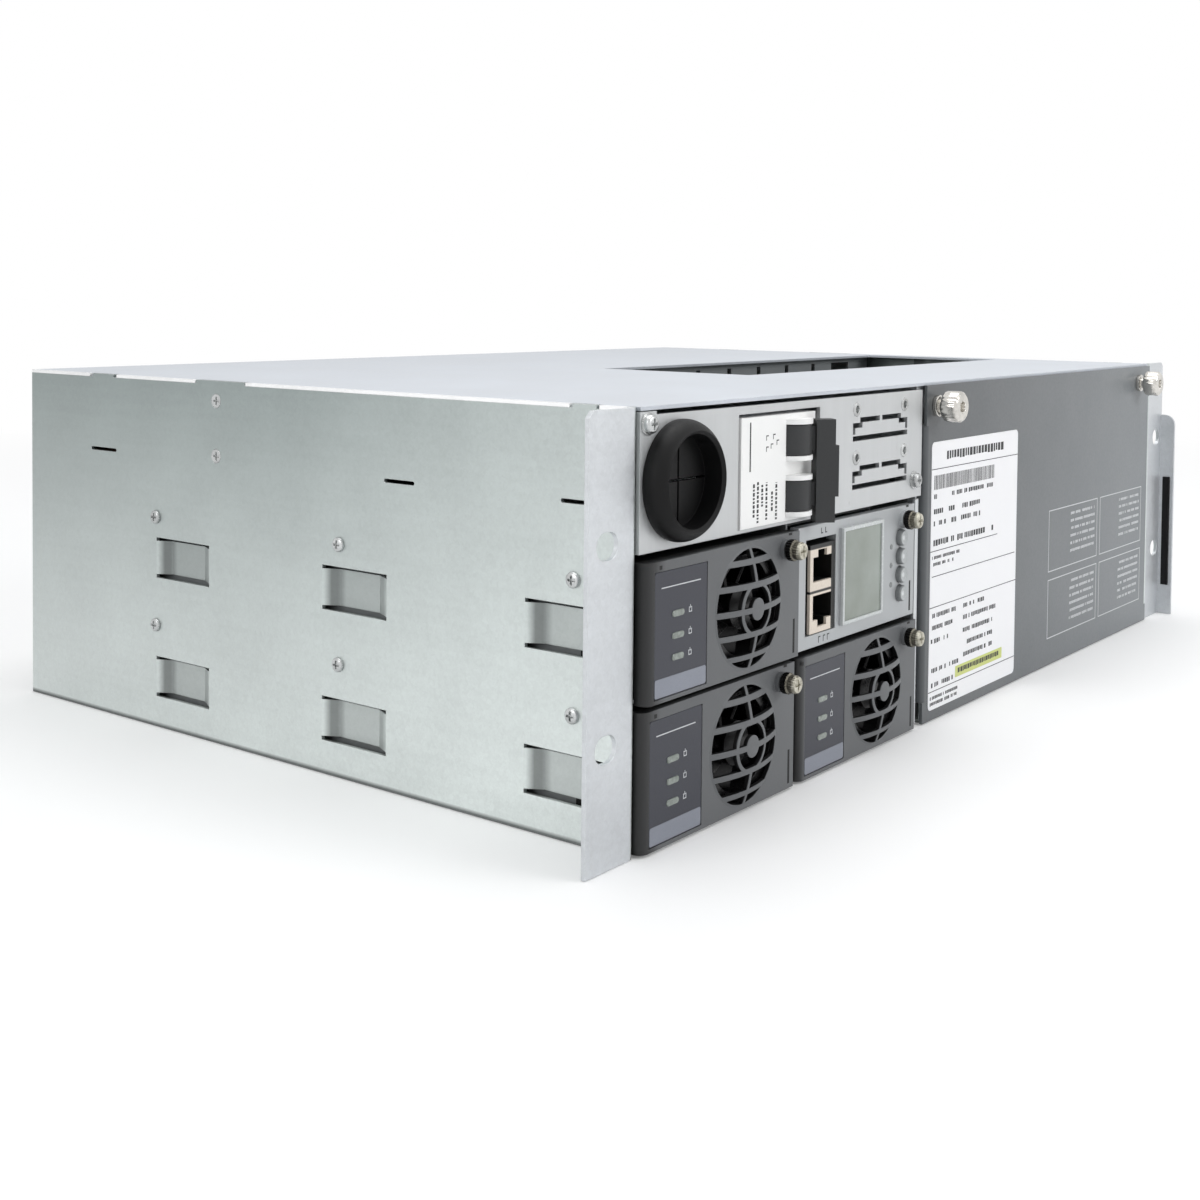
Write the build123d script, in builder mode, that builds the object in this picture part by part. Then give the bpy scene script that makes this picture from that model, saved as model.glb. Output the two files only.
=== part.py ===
from build123d import *
import math
import os

# Rack power shelf, 3 units high, with three plug-in rectifiers, a controller and a breaker.
# Millimetres. X runs to the right, Y to the rear and Z up. The origin is the centre of
# the bottom face. Depths are counted from the front plane of the rack ears.

os.makedirs("parts", exist_ok=True)

# Overall sizes
rack_width = 482.6
body_width = 440.0
body_height = 130.0
body_depth = 300.0
rows = 3
row_pitch = body_height / rows
half = body_width / 2

# Rack ears
ear_hole_span = 465.1
ear_hole_pitch = 57.15
ear_hole_low = 34.7
ear_hole_length = 10.0
ear_hole_height = 8.0
ear_corner = 2.0
lip_depth = 7.0
lip_height = body_height - 27.0
lip_corner = 5.0
lip_slot = (15.0, 71.0)
lip_slot_depth = 3.6

# Sheet metal
case_sheet = 1.5
thin_sheet = 1.2
divider_sheet = 0.8
casing_sheet = 0.8
bend = 1.4
fold_width = 10.0

# Clearances
seat_gap = 0.3
fit_gap = 0.1
shaft_gap = 0.05

# Circuit boards, and the depth of the backplane
board_sheet = 2.0
board_depth = body_depth - 45.0

# Plug-in modules
column_pitch = 88.5
side_clearance = 0.5
bezel_width = 84.8
bezel_height = (body_height - 6.1) / rows
bezel_lift = 0.7
bezel_plate = 4.5
bezel_depth = 26.2
bezel_wall = 1.5
bezel_round = 3.0
rectifier_proud = 2.2
loose_proud = 3.5
controller_proud = 1.0
casing_inset = 2.8
casing_width = 69.6
casing_height = (body_height - 11.2) / rows
module_length = board_depth - 6.8
controller_length = board_depth - 8.0
plug_length = 6.0
plug_body = 14.0
board_side_gap = 3.0
board_front_gap = 6.0
board_rear_gap = 4.0
board_post = 2.2
board_post_inset = 4.0
board_post_front = 12.0
board_post_rear = 8.0
fins = 6
fin_pitch = 4.0
fin_sheet = 1.4
fin_height = 18.0
fin_front_gap = 60.0
fin_rear_gap = 50.0
coil_x = (2.0, 24.0)
coil_depths = (70.0, 98.0)
coil_height = 16.0
casing_vents = 9
casing_vent = (7.0, 2.5)

# Label recess of the rectifiers
label_left = 3.6
label_width = 27.2
label_low = 1.2
label_height = 37.1
label_recess = 0.5

# Domed fan grille
grille_x = 54.2
grille_radius = 19.4
grille_dome = 3.6
grille_sheet = 1.5
grille_bar = 1.8
grille_rib = 1.3
grille_bar_rows = (7.6, 14.8)
grille_ring = 8.0
grille_ring_width = 1.2
grille_hub = 3.5

# Fan
fan_size = 33.0
fan_depth = 15.0
fan_duct = 15.4
fan_hole_inset = 2.0
fan_hole = 1.2
fan_hub = 7.0
fan_carrier = 3.0
fan_strut = 2.0
fan_blades = 7
fan_blade_chord = 9.0
fan_blade_sheet = 0.9
fan_blade_pitch = 38.0
fan_tip_gap = 0.8
fan_shaft = 1.0

# Captive screws of the modules
captive_inset = 9.4
captive_drop = 4.9
captive_collar = 3.3
captive_collar_height = 1.6
captive_sleeve = 3.0
captive_sleeve_length = 4.6
captive_head = 2.7
captive_head_height = 0.8
captive_shank = 1.5
captive_reach = 9.0
captive_tab = 3.5
slot_width = 0.8

# Divider between the modules and the cabling bay
bay_gap = 5.5
bay_strip = 4.0

# Side panel windows with pressed-in bridges, slits and screws
window_starts = (10.0, 99.2, 189.0)
window_lows = (11.3, 55.6)
window_length = 30.5
window_height = 15.0
bridge_depth = 3.0
bridge_ramp = 6.0
bridge_gap = 1.3
side_screw_depths = (21.8, 121.5, board_depth - 35.5)
side_screw_rows = (row_pitch - 16 / 3, 2 * row_pitch - 25.4 / 3)
side_screw_head = 2.5
side_screw_rise = 1.5
side_screw_top = 1.75
side_screw_shank = 1.4
side_fold_below = 4.5
flush_screw_depth = 185.3
flush_screw_rows = (body_height - 26.9, body_height - 7.2)
flush_screw_head = 2.5
slit_height = body_height - 28.8
slits = ((22.5, 9.0), (93.8, 13.6), (body_depth - 48.0, 16.0))
slit_width = 1.3

# Tabs of the side panels in notches of the top cover: start, length and play
cover_tabs = ((14.0, 9.0, 1.0), (169.8, 26.6, 0.5), (body_depth - 54.0, 13.0, 2.0))
tab_notch = 2.6

# Top cover opening
opening_x = (-37.6, 206.0)
opening_depths = (76.5, 151.0)

# AC panel
panel_front = -0.3
panel_sheet = 1.5
panel_top_gap = 1.0
panel_tab = 8.0
panel_foot = 12.0
panel_screws = ((-214.4, body_height - 5.0), (-44.3, body_height - 36.0))
panel_screw_head = 2.75
panel_screw_rise = 2.6
panel_screw_top = 1.925
panel_screw_cross = 1.65
panel_screw_length = 9.0
knockout_x = (-92.0, -50.2)
knockout_top = body_height - 10.3
knockout_pitch = 17.0
knockout_step = 5.2
knockout_drop = 1.8
knockout_slot = 1.8
knockout_leg = 4.0
knockout_bar_drop = 6.4
stud_inset = 2.6
stud_rise = 3.0
stud_radius = 2.2
stud_shank = 1.4
stud_length = 7.0

# Cable grommet
grommet_x = -198.8
grommet_z = body_height - 22.5
grommet_radius = 18.0
grommet_mouth = 14.0
grommet_rise = 7.3
grommet_hole = 15.5
grommet_groove = 1.6
grommet_rounding = 1.0
grommet_bulge = (0.6, 4.745)
membrane = 1.0
membrane_slit = 0.8

# Breaker, lying on its side so that its levers swing left and right
breaker_x = (-165.2, -119.3)
breaker_z = (body_height - 41.2, body_height - 6.2)
breaker_proud = 0.8
breaker_nose = 25.0
breaker_body_width = 85.0
breaker_rear = 68.0
breaker_corner = 2.0
breaker_window = (-165.9, -115.2, body_height - 41.7, body_height - 5.1)
lever_x = -131.0
lever_depth = 2.0
lever_radius = 7.6
lever_zones = ((body_height - 38.3, body_height - 28.0), (body_height - 20.0, body_height - 9.7))
lever_cheek = 1.6
lever_pin_reach = 1.12
lever_pin_hole = 1.28
lever_rest = 48.0
lever_root = 8.4
lever_tip = 15.0
lever_bar = (body_height - 42.6, body_height - 8.4)
lever_thickness = 5.4
lever_bulge = 1.2
lever_bulge_length = 17.0
lever_neck = 2.4
lever_pin = 1.5

# Incoming terminals
ac_terminal_x = (-98.0, -58.0)
ac_terminal_depths = (118.0, 146.0)
ac_terminal_height = 24.0
ac_terminal_poles = 4
ac_terminal_bore = 3.0
ac_terminal_bore_depth = 12.0
ac_terminal_well = 2.8

# Controller face, measured from its left and lower edge
jack_opening = (4.9, 25.3, 4.2, 36.7)
jack_width = 16.6
jack_height = 15.0
jack_mouth = (12.4, 8.4)
jack_latch = (6.0, 2.4)
jack_depth = 11.0
jack_well = 9.0
lcd_frame = (28.0, 57.6, 4.6, 38.4)
lcd_rim = 3.0
lcd_rise = 0.8
lcd_recess = 1.2
lcd_sheet = 3.0
buttons = 4
button_x = 73.4
button_low = 9.4
button_pitch = 6.83
button_radius = 3.0
button_proud = 2.0
button_travel = 1.0
button_dish = 0.6
button_dish_radius = 1.8
button_rim_radius = 2.55
button_stem = 1.2
button_stem_length = 2.0
switch_height = 3.0
switch_radius = 2.4
switch_board_lift = 1.0
controller_post_front = 30.0

# Front cover of the cabling bay and its thumbscrews
cover_x = (-36.4, 216.4)
cover_z = (0.3, body_height - 1.0)
cover_front = -1.5
cover_return = 9.0
thumb_x = (-28.0, 200.0)
thumb_z = body_height - 9.0
thumb_head = 5.9
thumb_head_length = 6.9
thumb_chamfer = 1.0
thumb_collar = 4.1
thumb_collar_height = 1.6
thumb_neck = 2.6
thumb_neck_length = 2.0
thumb_shank = 2.0
thumb_reach = 7.0
thumb_boss = 4.5
thumb_flutes = 14
thumb_flute = 0.5
thumb_recess = 2.4
thumb_tab = (6.0, 7.0)
bay_lip = 8.0

# Slotted wall behind the top opening
comb_depth = 156.4
comb_slots = 7
comb_slot_x = -11.1
comb_slot_pitch = 27.4
comb_slot_width = 3.6
comb_slot_z = (78.0, body_height - 3.6)
comb_window = (173.0, 192.0)

# Rail with load terminals in the cabling bay
rail_height = 35.0
rail_depth = 7.5
rail_brim = 5.0
rail_sheet = 1.0
rail_z = 45.0
rail_x = (-25.0, 165.0)
rail_front = 60.0
terminal_count = 12
terminal_width = 13.0
terminal_pitch = 13.4
terminal_depth = 42.0
terminal_height = 58.0

# Backplane and bars
board_z = (5.0, body_height - 45.0)
socket_wall = 2.0
rectifier_plug = (34.0, 12.0)
controller_plug = (24.0, 8.0)
bar_sheet = 4.0
bar_height = 18.0
bar_lows = (14.0, 58.0)
bar_x = (-205.0, 150.0)
post_radius = 5.0
post_length = 22.0
posts = 5
post_pitch = 30.0

# Rear panel
vent_columns = 13
vent_pitch = 12.6
vent_width = 5.0
vent_height = 28.0
cable_window = (120.0, 36.0)

inner = half - case_sheet
front = -body_depth / 2
cover_low = body_height - thin_sheet
rear_wall = body_depth - thin_sheet
plate_back = bezel_plate - rectifier_proud
flange_front = plate_back + seat_gap
shelf_start = flange_front + thin_sheet + seat_gap
shelf_end = board_depth - seat_gap
lap_depth = (shelf_start + shelf_end) / 2
panel_back = panel_front + panel_sheet + seat_gap
cover_back = cover_front + thin_sheet + seat_gap
screw_hole = side_screw_shank + fit_gap


def level(z):
    """Horizontal plane at height z, with X across and depth as its second axis."""
    return Plane(origin=(0, front, z), x_dir=(1, 0, 0), z_dir=(0, 0, 1))


def facing(depth):
    """Upright plane at a depth that faces the front, with X across and Z up."""
    return Plane(origin=(0, front + depth, 0), x_dir=(1, 0, 0), z_dir=(0, -1, 0))


def side(x):
    """Upright plane at x that faces right, with depth across and Z up."""
    return Plane(origin=(x, front, 0), x_dir=(0, 1, 0), z_dir=(1, 0, 0))


def row_top(row):
    """Top of the sheet that carries a row."""
    return row * row_pitch + thin_sheet


def column_left(column):
    """Left edge of the module faces in a column."""
    return -inner + side_clearance + column * column_pitch


def bezel_low(row):
    """Lower edge of the module faces in a row."""
    return row * row_pitch + bezel_lift


def captive_x(column):
    """Axis of the captive screws in a column."""
    return column_left(column) + bezel_width - captive_inset


def captive_z(row):
    """Height of the captive screws in a row."""
    return bezel_low(row) + bezel_height - captive_drop


bay_wall = column_left(1) + bezel_width + bay_gap
bay_left = bay_wall + thin_sheet
divider_x = column_left(1) - (column_pitch - bezel_width) / 2


def block(x, depth, z, mode=Mode.ADD):
    """Straight-sided stretch of the current piece between two values on each axis."""
    with BuildSketch(level(z[0])) as base:
        with Locations(((x[0] + x[1]) / 2, (depth[0] + depth[1]) / 2)):
            Rectangle(x[1] - x[0], depth[1] - depth[0])
    extrude(base.sketch, amount=z[1] - z[0], mode=mode)


def disc(x, z, depth, radius, mode=Mode.ADD):
    """Round stretch of the current piece along the depth."""
    with BuildSketch(facing(depth[0])) as base:
        with Locations((x, z)):
            Circle(radius)
    extrude(base.sketch, amount=depth[0] - depth[1], mode=mode)


def turned(x, z, profile):
    """Turned piece about the axis at x and z, from pairs of radius and depth."""
    with BuildSketch(Plane(origin=(x, front, z), x_dir=(1, 0, 0), z_dir=(0, 0, 1))) as section:
        with BuildLine():
            Polyline(*profile, close=True)
        make_face()
    revolve(section.sketch, axis=Axis((x, front, z), (0, 1, 0)))


def turned_side(depth, z, profile, mode=Mode.ADD):
    """Turned piece about an axis along X, from pairs of x and radius."""
    with BuildSketch(Plane(origin=(0, front + depth, z), x_dir=(1, 0, 0), z_dir=(0, 0, 1))) as section:
        with BuildLine():
            Polyline(*profile, close=True)
        make_face()
    revolve(section.sketch, axis=Axis((0, front + depth, z), (1, 0, 0)), mode=mode)


def folded_up(points, sheet, z, radius=bend):
    """Folded sheet that stands upright, from its centre line seen from above."""
    with BuildSketch(level(z[0])) as section:
        with BuildLine():
            FilletPolyline(*points, radius=radius)
        trace(line_width=sheet)
    extrude(section.sketch, amount=z[1] - z[0])


def folded_along(points, sheet, depth, radius=bend):
    """Folded sheet that runs from front to rear, from its centre line seen from the front."""
    with BuildSketch(facing(depth[0])) as section:
        with BuildLine():
            FilletPolyline(*points, radius=radius)
        trace(line_width=sheet)
    extrude(section.sketch, amount=depth[0] - depth[1])


def side_hole(depth, z):
    """Screw hole through the left side panel and the fold that lies against it."""
    turned_side(depth, z, ((-half, 0), (-half, screw_hole), (-inner + thin_sheet, screw_hole),
                           (-inner + thin_sheet, 0)), Mode.SUBTRACT)


def cross_recess(x, z, depth, reach):
    """Crossed drive recess in a screw head, open to the front."""
    with BuildSketch(facing(depth)) as cross:
        with Locations((x, z)):
            Rectangle(2 * reach, slot_width)
            Rectangle(slot_width, 2 * reach)
    extrude(cross.sketch, amount=-slot_width, mode=Mode.SUBTRACT)


def save(name, part):
    """Label a finished piece and write it under its node name."""
    part.label = name
    export_step(part, f"parts/{name}.step")


# Side panels: one sheet each, with the ear folded outward and six bridged windows
side_middle = half - case_sheet / 2
ear_hole_x = -ear_hole_span / 2
tab_depths = (panel_back, panel_back + thin_sheet)


def window_bridge(start, low):
    """Window cut in the left side panel, with a strip pressed inward across it."""
    end = start + window_length
    block((-half, -inner), (start, end), (low, low + window_height), Mode.SUBTRACT)
    pressed = -half + bridge_depth
    with BuildSketch(level(low + bridge_gap)) as strip:
        with BuildLine():
            Polyline(
                (-half, start), (pressed, start + bridge_ramp), (pressed, end - bridge_ramp),
                (-half, end), (-inner, end), (pressed + case_sheet, end - bridge_ramp),
                (pressed + case_sheet, start + bridge_ramp), (-inner, start), close=True)
        make_face()
    extrude(strip.sketch, amount=window_height - 2 * bridge_gap)


with BuildPart() as side_sheet:
    folded_up(
        ((-side_middle, body_depth), (-side_middle, case_sheet / 2),
         (-rack_width / 2, case_sheet / 2)),
        case_sheet, (0, body_height))
    # the cover lies on the upper edge, and only the tabs and the front corner rise past it
    stops = [2 * case_sheet]
    for start, length, play in cover_tabs:
        stops += [start, start + length]
    stops.append(body_depth)
    for low, high in zip(stops[::2], stops[1::2]):
        block((-half - 1, -inner + 1), (low, high), (cover_low, body_height), Mode.SUBTRACT)
    with BuildSketch(facing(0)) as ear_holes:
        with Locations((ear_hole_x, ear_hole_low), (ear_hole_x, ear_hole_low + ear_hole_pitch)):
            SlotOverall(ear_hole_length, ear_hole_height)
    extrude(amount=-case_sheet, mode=Mode.SUBTRACT)
    ear_edge = side_sheet.edges().filter_by(Axis.Y).group_by(Axis.X)[0].sort_by(Axis.Z)[-1]
    chamfer(ear_edge, ear_corner)
    for start in window_starts:
        for low in window_lows:
            window_bridge(start, low)
    with BuildSketch(side(-half)) as slit_outlines:
        for depth, length in slits:
            with Locations((depth, slit_height)):
                SlotOverall(length, slit_width)
    extrude(amount=case_sheet, mode=Mode.SUBTRACT)

with BuildPart() as side_panel_left:
    add(side_sheet.part)
    tab_x, tab_z = panel_screws[0]
    block((-inner - fit_gap, tab_x + captive_tab), tab_depths,
          (tab_z - captive_tab, cover_low - seat_gap))
    disc(tab_x, tab_z, tab_depths, screw_hole, Mode.SUBTRACT)
    for depth in side_screw_depths:
        for z in side_screw_rows:
            side_hole(depth, z)
    for z in flush_screw_rows:
        turned_side(flush_screw_depth, z,
                    ((-half, 0), (-half, flush_screw_head + fit_gap), (-inner, screw_hole), (-inner, 0)),
                    Mode.SUBTRACT)
save("side_panel_left", side_panel_left.part)

with BuildPart() as side_panel_right:
    mirror(side_sheet.part, about=Plane.YZ)
    block((thumb_x[1] - thumb_tab[0], inner + fit_gap), tab_depths,
          (thumb_z - thumb_tab[1], cover_low - seat_gap))
    disc(thumb_x[1], thumb_z, (cover_back, tab_depths[0]), thumb_boss)
    disc(thumb_x[1], thumb_z, (cover_back, tab_depths[1]), thumb_shank + fit_gap, Mode.SUBTRACT)
    # forward lip on the ear's edge, with a long slot
    lip_x = rack_width / 2 - case_sheet
    with BuildSketch(side(lip_x)) as lip:
        with Locations(((case_sheet - lip_depth) / 2, lip_height / 2)):
            Rectangle(lip_depth + case_sheet, lip_height)
        fillet(lip.vertices().group_by(Axis.X)[0].sort_by(Axis.Y)[-1], lip_corner)
        with Locations((-lip_depth / 2, sum(lip_slot) / 2)):
            Rectangle(lip_slot_depth, lip_slot[1] - lip_slot[0], mode=Mode.SUBTRACT)
    extrude(amount=case_sheet)
save("side_panel_right", side_panel_right.part)

# Rubber strip in the slot of the right ear's lip
with BuildPart() as ear_strip:
    strip_reach = lip_slot_depth / 2 - fit_gap
    block((lip_x - case_sheet / 2, lip_x + case_sheet),
          (-lip_depth / 2 - strip_reach, -lip_depth / 2 + strip_reach),
          (lip_slot[0] + fit_gap, lip_slot[1] - fit_gap))
save("ear_strip", ear_strip.part)

# Floor with side folds and a front lip across the cabling bay
fold_middle = inner - thin_sheet / 2
with BuildPart() as floor_tray:
    floor_middle = thin_sheet / 2
    folded_along(
        ((-fold_middle, fold_width), (-fold_middle, floor_middle), (fold_middle, floor_middle),
         (fold_middle, fold_width)),
        thin_sheet, (shelf_start, rear_wall))
    lip_left = cover_x[0] + 2 * thin_sheet
    lip_right = cover_x[1] - 2 * thin_sheet
    block((lip_left, lip_right), (cover_back, shelf_start), (0, thin_sheet))
    block((lip_left, lip_right), (cover_back, cover_back + thin_sheet), (0, bay_lip))
save("floor_tray", floor_tray.part)

# Top cover with its opening and the notches for the side panels' tabs
with BuildPart() as top_cover:
    with BuildSketch(level(cover_low)) as cover_outline:
        with Locations((0, (cover_back + body_depth) / 2)):
            Rectangle(body_width, body_depth - cover_back)
        with Locations((sum(opening_x) / 2, sum(opening_depths) / 2)):
            RectangleRounded(opening_x[1] - opening_x[0], opening_depths[1] - opening_depths[0],
                             bend, mode=Mode.SUBTRACT)
        for edge in (-half, half):
            for start, length, play in cover_tabs:
                with Locations((edge, start + length / 2)):
                    Rectangle(2 * tab_notch, length + 2 * play, mode=Mode.SUBTRACT)
            with Locations((edge, 0)):
                Rectangle(2 * tab_notch, 4 * case_sheet + 2 * seat_gap, mode=Mode.SUBTRACT)
    extrude(amount=thin_sheet)
save("top_cover", top_cover.part)

# Rear panel with vents behind the modules and a cable window behind the bay
with BuildPart() as rear_panel:
    rear_middle = rear_wall + thin_sheet / 2
    wall_side = fold_middle - 2 * thin_sheet
    folded_up(
        ((-wall_side, rear_middle - fold_width), (-wall_side, rear_middle),
         (wall_side, rear_middle), (wall_side, rear_middle - fold_width)),
        thin_sheet, (thin_sheet, cover_low))
    with BuildSketch(facing(rear_wall)) as rear_cuts:
        for row in range(2):
            with Locations((divider_x, row_top(row) + casing_height / 2)):
                with GridLocations(vent_pitch, row_pitch, vent_columns, 1):
                    SlotOverall(vent_height, vent_width, rotation=90)
        with Locations(((bay_left + inner) / 2, row_pitch)):
            RectangleRounded(*cable_window, fold_width / 2)
    extrude(amount=-thin_sheet, mode=Mode.SUBTRACT)
save("rear_panel", rear_panel.part)


def shelf(row):
    """Shelf sheet under a row, with a screwed fold down each side."""
    screw_z = side_screw_rows[row - 1]
    left_fold = -fold_middle
    right_fold = bay_wall - thin_sheet / 2
    middle = row_top(row) - thin_sheet / 2
    fold_end = screw_z - side_fold_below
    folded_along(
        ((left_fold, fold_end), (left_fold, middle), (right_fold, middle), (right_fold, fold_end)),
        thin_sheet, (shelf_start, shelf_end))
    for depth in side_screw_depths:
        side_hole(depth, screw_z)


with BuildPart() as lower_shelf:
    shelf(1)
    lap = divider_sheet / 2 + fit_gap
    block((divider_x - lap, divider_x + lap), (shelf_start, lap_depth), (row_pitch, row_top(1)),
          Mode.SUBTRACT)
save("lower_shelf", lower_shelf.part)

with BuildPart() as upper_shelf:
    shelf(2)
save("upper_shelf", upper_shelf.part)

# Sheet between the two columns, lapped into the lower shelf, with a tab for each captive screw
flange_reach = captive_shank + 3 * fit_gap + divider_sheet
upper_shelf_low = 2 * row_pitch


def captive_tabs(column, wall, sheet):
    """Tabs from a divider towards the captive screws of the column on its left."""
    x = captive_x(column)
    depths = (flange_front, flange_front + sheet)
    for row in range(2):
        z = captive_z(row)
        block((x - flange_reach, wall), depths, (z - captive_tab, z + captive_tab))
        disc(x, z, depths, captive_shank + fit_gap, Mode.SUBTRACT)


with BuildPart() as column_divider:
    divider_left = divider_x - divider_sheet / 2
    block((divider_left, divider_left + divider_sheet), (flange_front, shelf_end),
          (thin_sheet, upper_shelf_low))
    captive_tabs(0, divider_left + divider_sheet, divider_sheet)
    block((divider_left - 1, divider_left + divider_sheet + 1), (lap_depth - fit_gap, shelf_end),
          (row_pitch - fit_gap, row_top(1) + fit_gap), Mode.SUBTRACT)
save("column_divider", column_divider.part)

# Wall between the modules and the cabling bay, folded to a strip at the front
with BuildPart() as bay_divider:
    wall_middle = bay_wall + thin_sheet / 2
    strip_end = bay_left - bay_strip
    wall_top = upper_shelf_low - seat_gap
    folded_up(
        ((wall_middle, board_depth), (wall_middle, thin_sheet / 2), (strip_end, thin_sheet / 2)),
        thin_sheet, (thin_sheet, wall_top), thin_sheet)
    captive_tabs(1, bay_wall + fit_gap, thin_sheet)
    block((bay_wall, bay_left), (panel_back, board_depth), (wall_top - thin_sheet, cover_low))
    # tabs that take a screw of the AC panel and the left thumbscrew
    tab_x, tab_z = panel_screws[1]
    block((tab_x - captive_tab, bay_left), tab_depths,
          (row_top(2) + thin_sheet + seat_gap, tab_z + captive_tab))
    disc(tab_x, tab_z, tab_depths, screw_hole, Mode.SUBTRACT)
    block((bay_wall, thumb_x[0] + thumb_tab[0]), tab_depths,
          (thumb_z - thumb_tab[1], cover_low - seat_gap))
    disc(thumb_x[0], thumb_z, (cover_back, tab_depths[0]), thumb_boss)
    disc(thumb_x[0], thumb_z, (cover_back, tab_depths[1]), thumb_shank + fit_gap, Mode.SUBTRACT)
save("bay_divider", bay_divider.part)

# Wall behind the AC compartment, held by the flush screws
with BuildPart() as ac_rear_wall:
    wall_depth = flush_screw_depth + fold_width / 2
    folded_up(
        ((-fold_middle, wall_depth - fold_width), (-fold_middle, wall_depth),
         (bay_wall - seat_gap, wall_depth)),
        thin_sheet, (row_top(2), cover_low))
    for z in flush_screw_rows:
        side_hole(flush_screw_depth, z)
save("ac_rear_wall", ac_rear_wall.part)

# Screws through the left side panel: pan heads for the shelves, flush heads for the wall
screw_end = -inner + thin_sheet + seat_gap
with BuildPart() as side_screws:
    for depth in side_screw_depths:
        for z in side_screw_rows:
            top = -half - side_screw_rise
            turned_side(depth, z, (
                (top, 0), (top, side_screw_top), (top + side_screw_rise / 2, side_screw_head),
                (-half, side_screw_head), (-half, side_screw_shank),
                (screw_end, side_screw_shank), (screw_end, 0)))
save("side_screws", side_screws.part)

with BuildPart() as flush_screws:
    for z in flush_screw_rows:
        turned_side(flush_screw_depth, z, (
            (-half, 0), (-half, flush_screw_head), (-inner - fit_gap, side_screw_shank),
            (screw_end, side_screw_shank), (screw_end, 0)))
save("flush_screws", flush_screws.part)

# AC panel with grommet hole, breaker window and two connector knock-outs
panel_x = (-inner + side_clearance, bay_left)
panel_z = (row_top(2) - seat_gap, cover_low - seat_gap)
window_left, window_right, window_low, window_high = breaker_window
stud_places = []
for number in range(2):
    for x in (knockout_x[0] + stud_inset, knockout_x[1] - stud_inset):
        stud_places.append((x, knockout_top - number * knockout_pitch + stud_rise))


def knockout(top):
    """Slots round a connector blank: a stepped upper outline and a straight lower bar."""
    middle = sum(knockout_x) / 2
    slot = knockout_slot
    shoulder = top - knockout_drop
    for sign, edge in zip((1, -1), knockout_x):
        step = edge + sign * knockout_step
        centre = middle - sign * slot / 2
        with BuildLine() as outline:
            Polyline(
                (step, top), (centre, top), (centre, top - slot), (step + sign * slot, top - slot),
                (step + sign * slot, shoulder - slot), (edge + sign * slot, shoulder - slot),
                (edge + sign * slot, shoulder - knockout_leg), (edge, shoulder - knockout_leg),
                (edge, shoulder), (step, shoulder), close=True)
        make_face(outline.edges())
    with Locations((middle, top - knockout_bar_drop - slot / 2)):
        Rectangle(knockout_x[1] - knockout_x[0], slot)


with BuildPart() as ac_panel:
    with BuildSketch(facing(panel_front)) as face_outline:
        with Locations((sum(panel_x) / 2, sum(panel_z) / 2)):
            Rectangle(panel_x[1] - panel_x[0], panel_z[1] - panel_z[0])
        with Locations((panel_tab + sum(panel_x) / 2, panel_z[1])):
            Rectangle(panel_x[1] - panel_x[0], 2 * panel_top_gap, mode=Mode.SUBTRACT)
        with Locations((grommet_x, grommet_z)):
            Circle(grommet_hole, mode=Mode.SUBTRACT)
        with Locations(((window_left + window_right) / 2, (window_low + window_high) / 2)):
            Rectangle(window_right - window_left, window_high - window_low, mode=Mode.SUBTRACT)
        with Locations(*panel_screws):
            Circle(screw_hole, mode=Mode.SUBTRACT)
        with Locations(*stud_places):
            Circle(stud_radius + fit_gap, mode=Mode.SUBTRACT)
    extrude(amount=-panel_sheet)
    with BuildSketch(facing(panel_front)) as blanks:
        for number in range(2):
            knockout(knockout_top - number * knockout_pitch)
    extrude(amount=-panel_sheet, mode=Mode.SUBTRACT)
    # foot folded back over the upper shelf
    block((panel_x[0] + panel_tab, bay_wall - panel_foot), (panel_front + panel_sheet, panel_foot),
          (row_top(2), row_top(2) + thin_sheet - seat_gap))
    block((panel_x[0] + panel_tab, bay_wall - panel_foot), (panel_front, panel_front + panel_sheet),
          (panel_z[0], row_top(2) + thin_sheet - seat_gap))
save("ac_panel", ac_panel.part)

# Threaded studs beside the knock-outs
with BuildPart() as panel_studs:
    for x, z in stud_places:
        turned(x, z, ((0, panel_front), (stud_radius, panel_front),
                      (stud_radius, panel_front + panel_sheet), (stud_shank, panel_front + panel_sheet),
                      (stud_shank, stud_length), (0, stud_length)))
save("panel_studs", panel_studs.part)

# Pan-head screws of the AC panel
with BuildPart() as ac_panel_screws:
    for x, z in panel_screws:
        rim = panel_front - panel_screw_rise
        turned(x, z, ((0, rim), (panel_screw_top, rim),
                      (panel_screw_head, rim + panel_screw_rise / 2), (panel_screw_head, panel_front),
                      (side_screw_shank, panel_front), (side_screw_shank, panel_screw_length),
                      (0, panel_screw_length)))
        cross_recess(x, z, rim, panel_screw_cross)
save("ac_panel_screws", ac_panel_screws.part)

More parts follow.
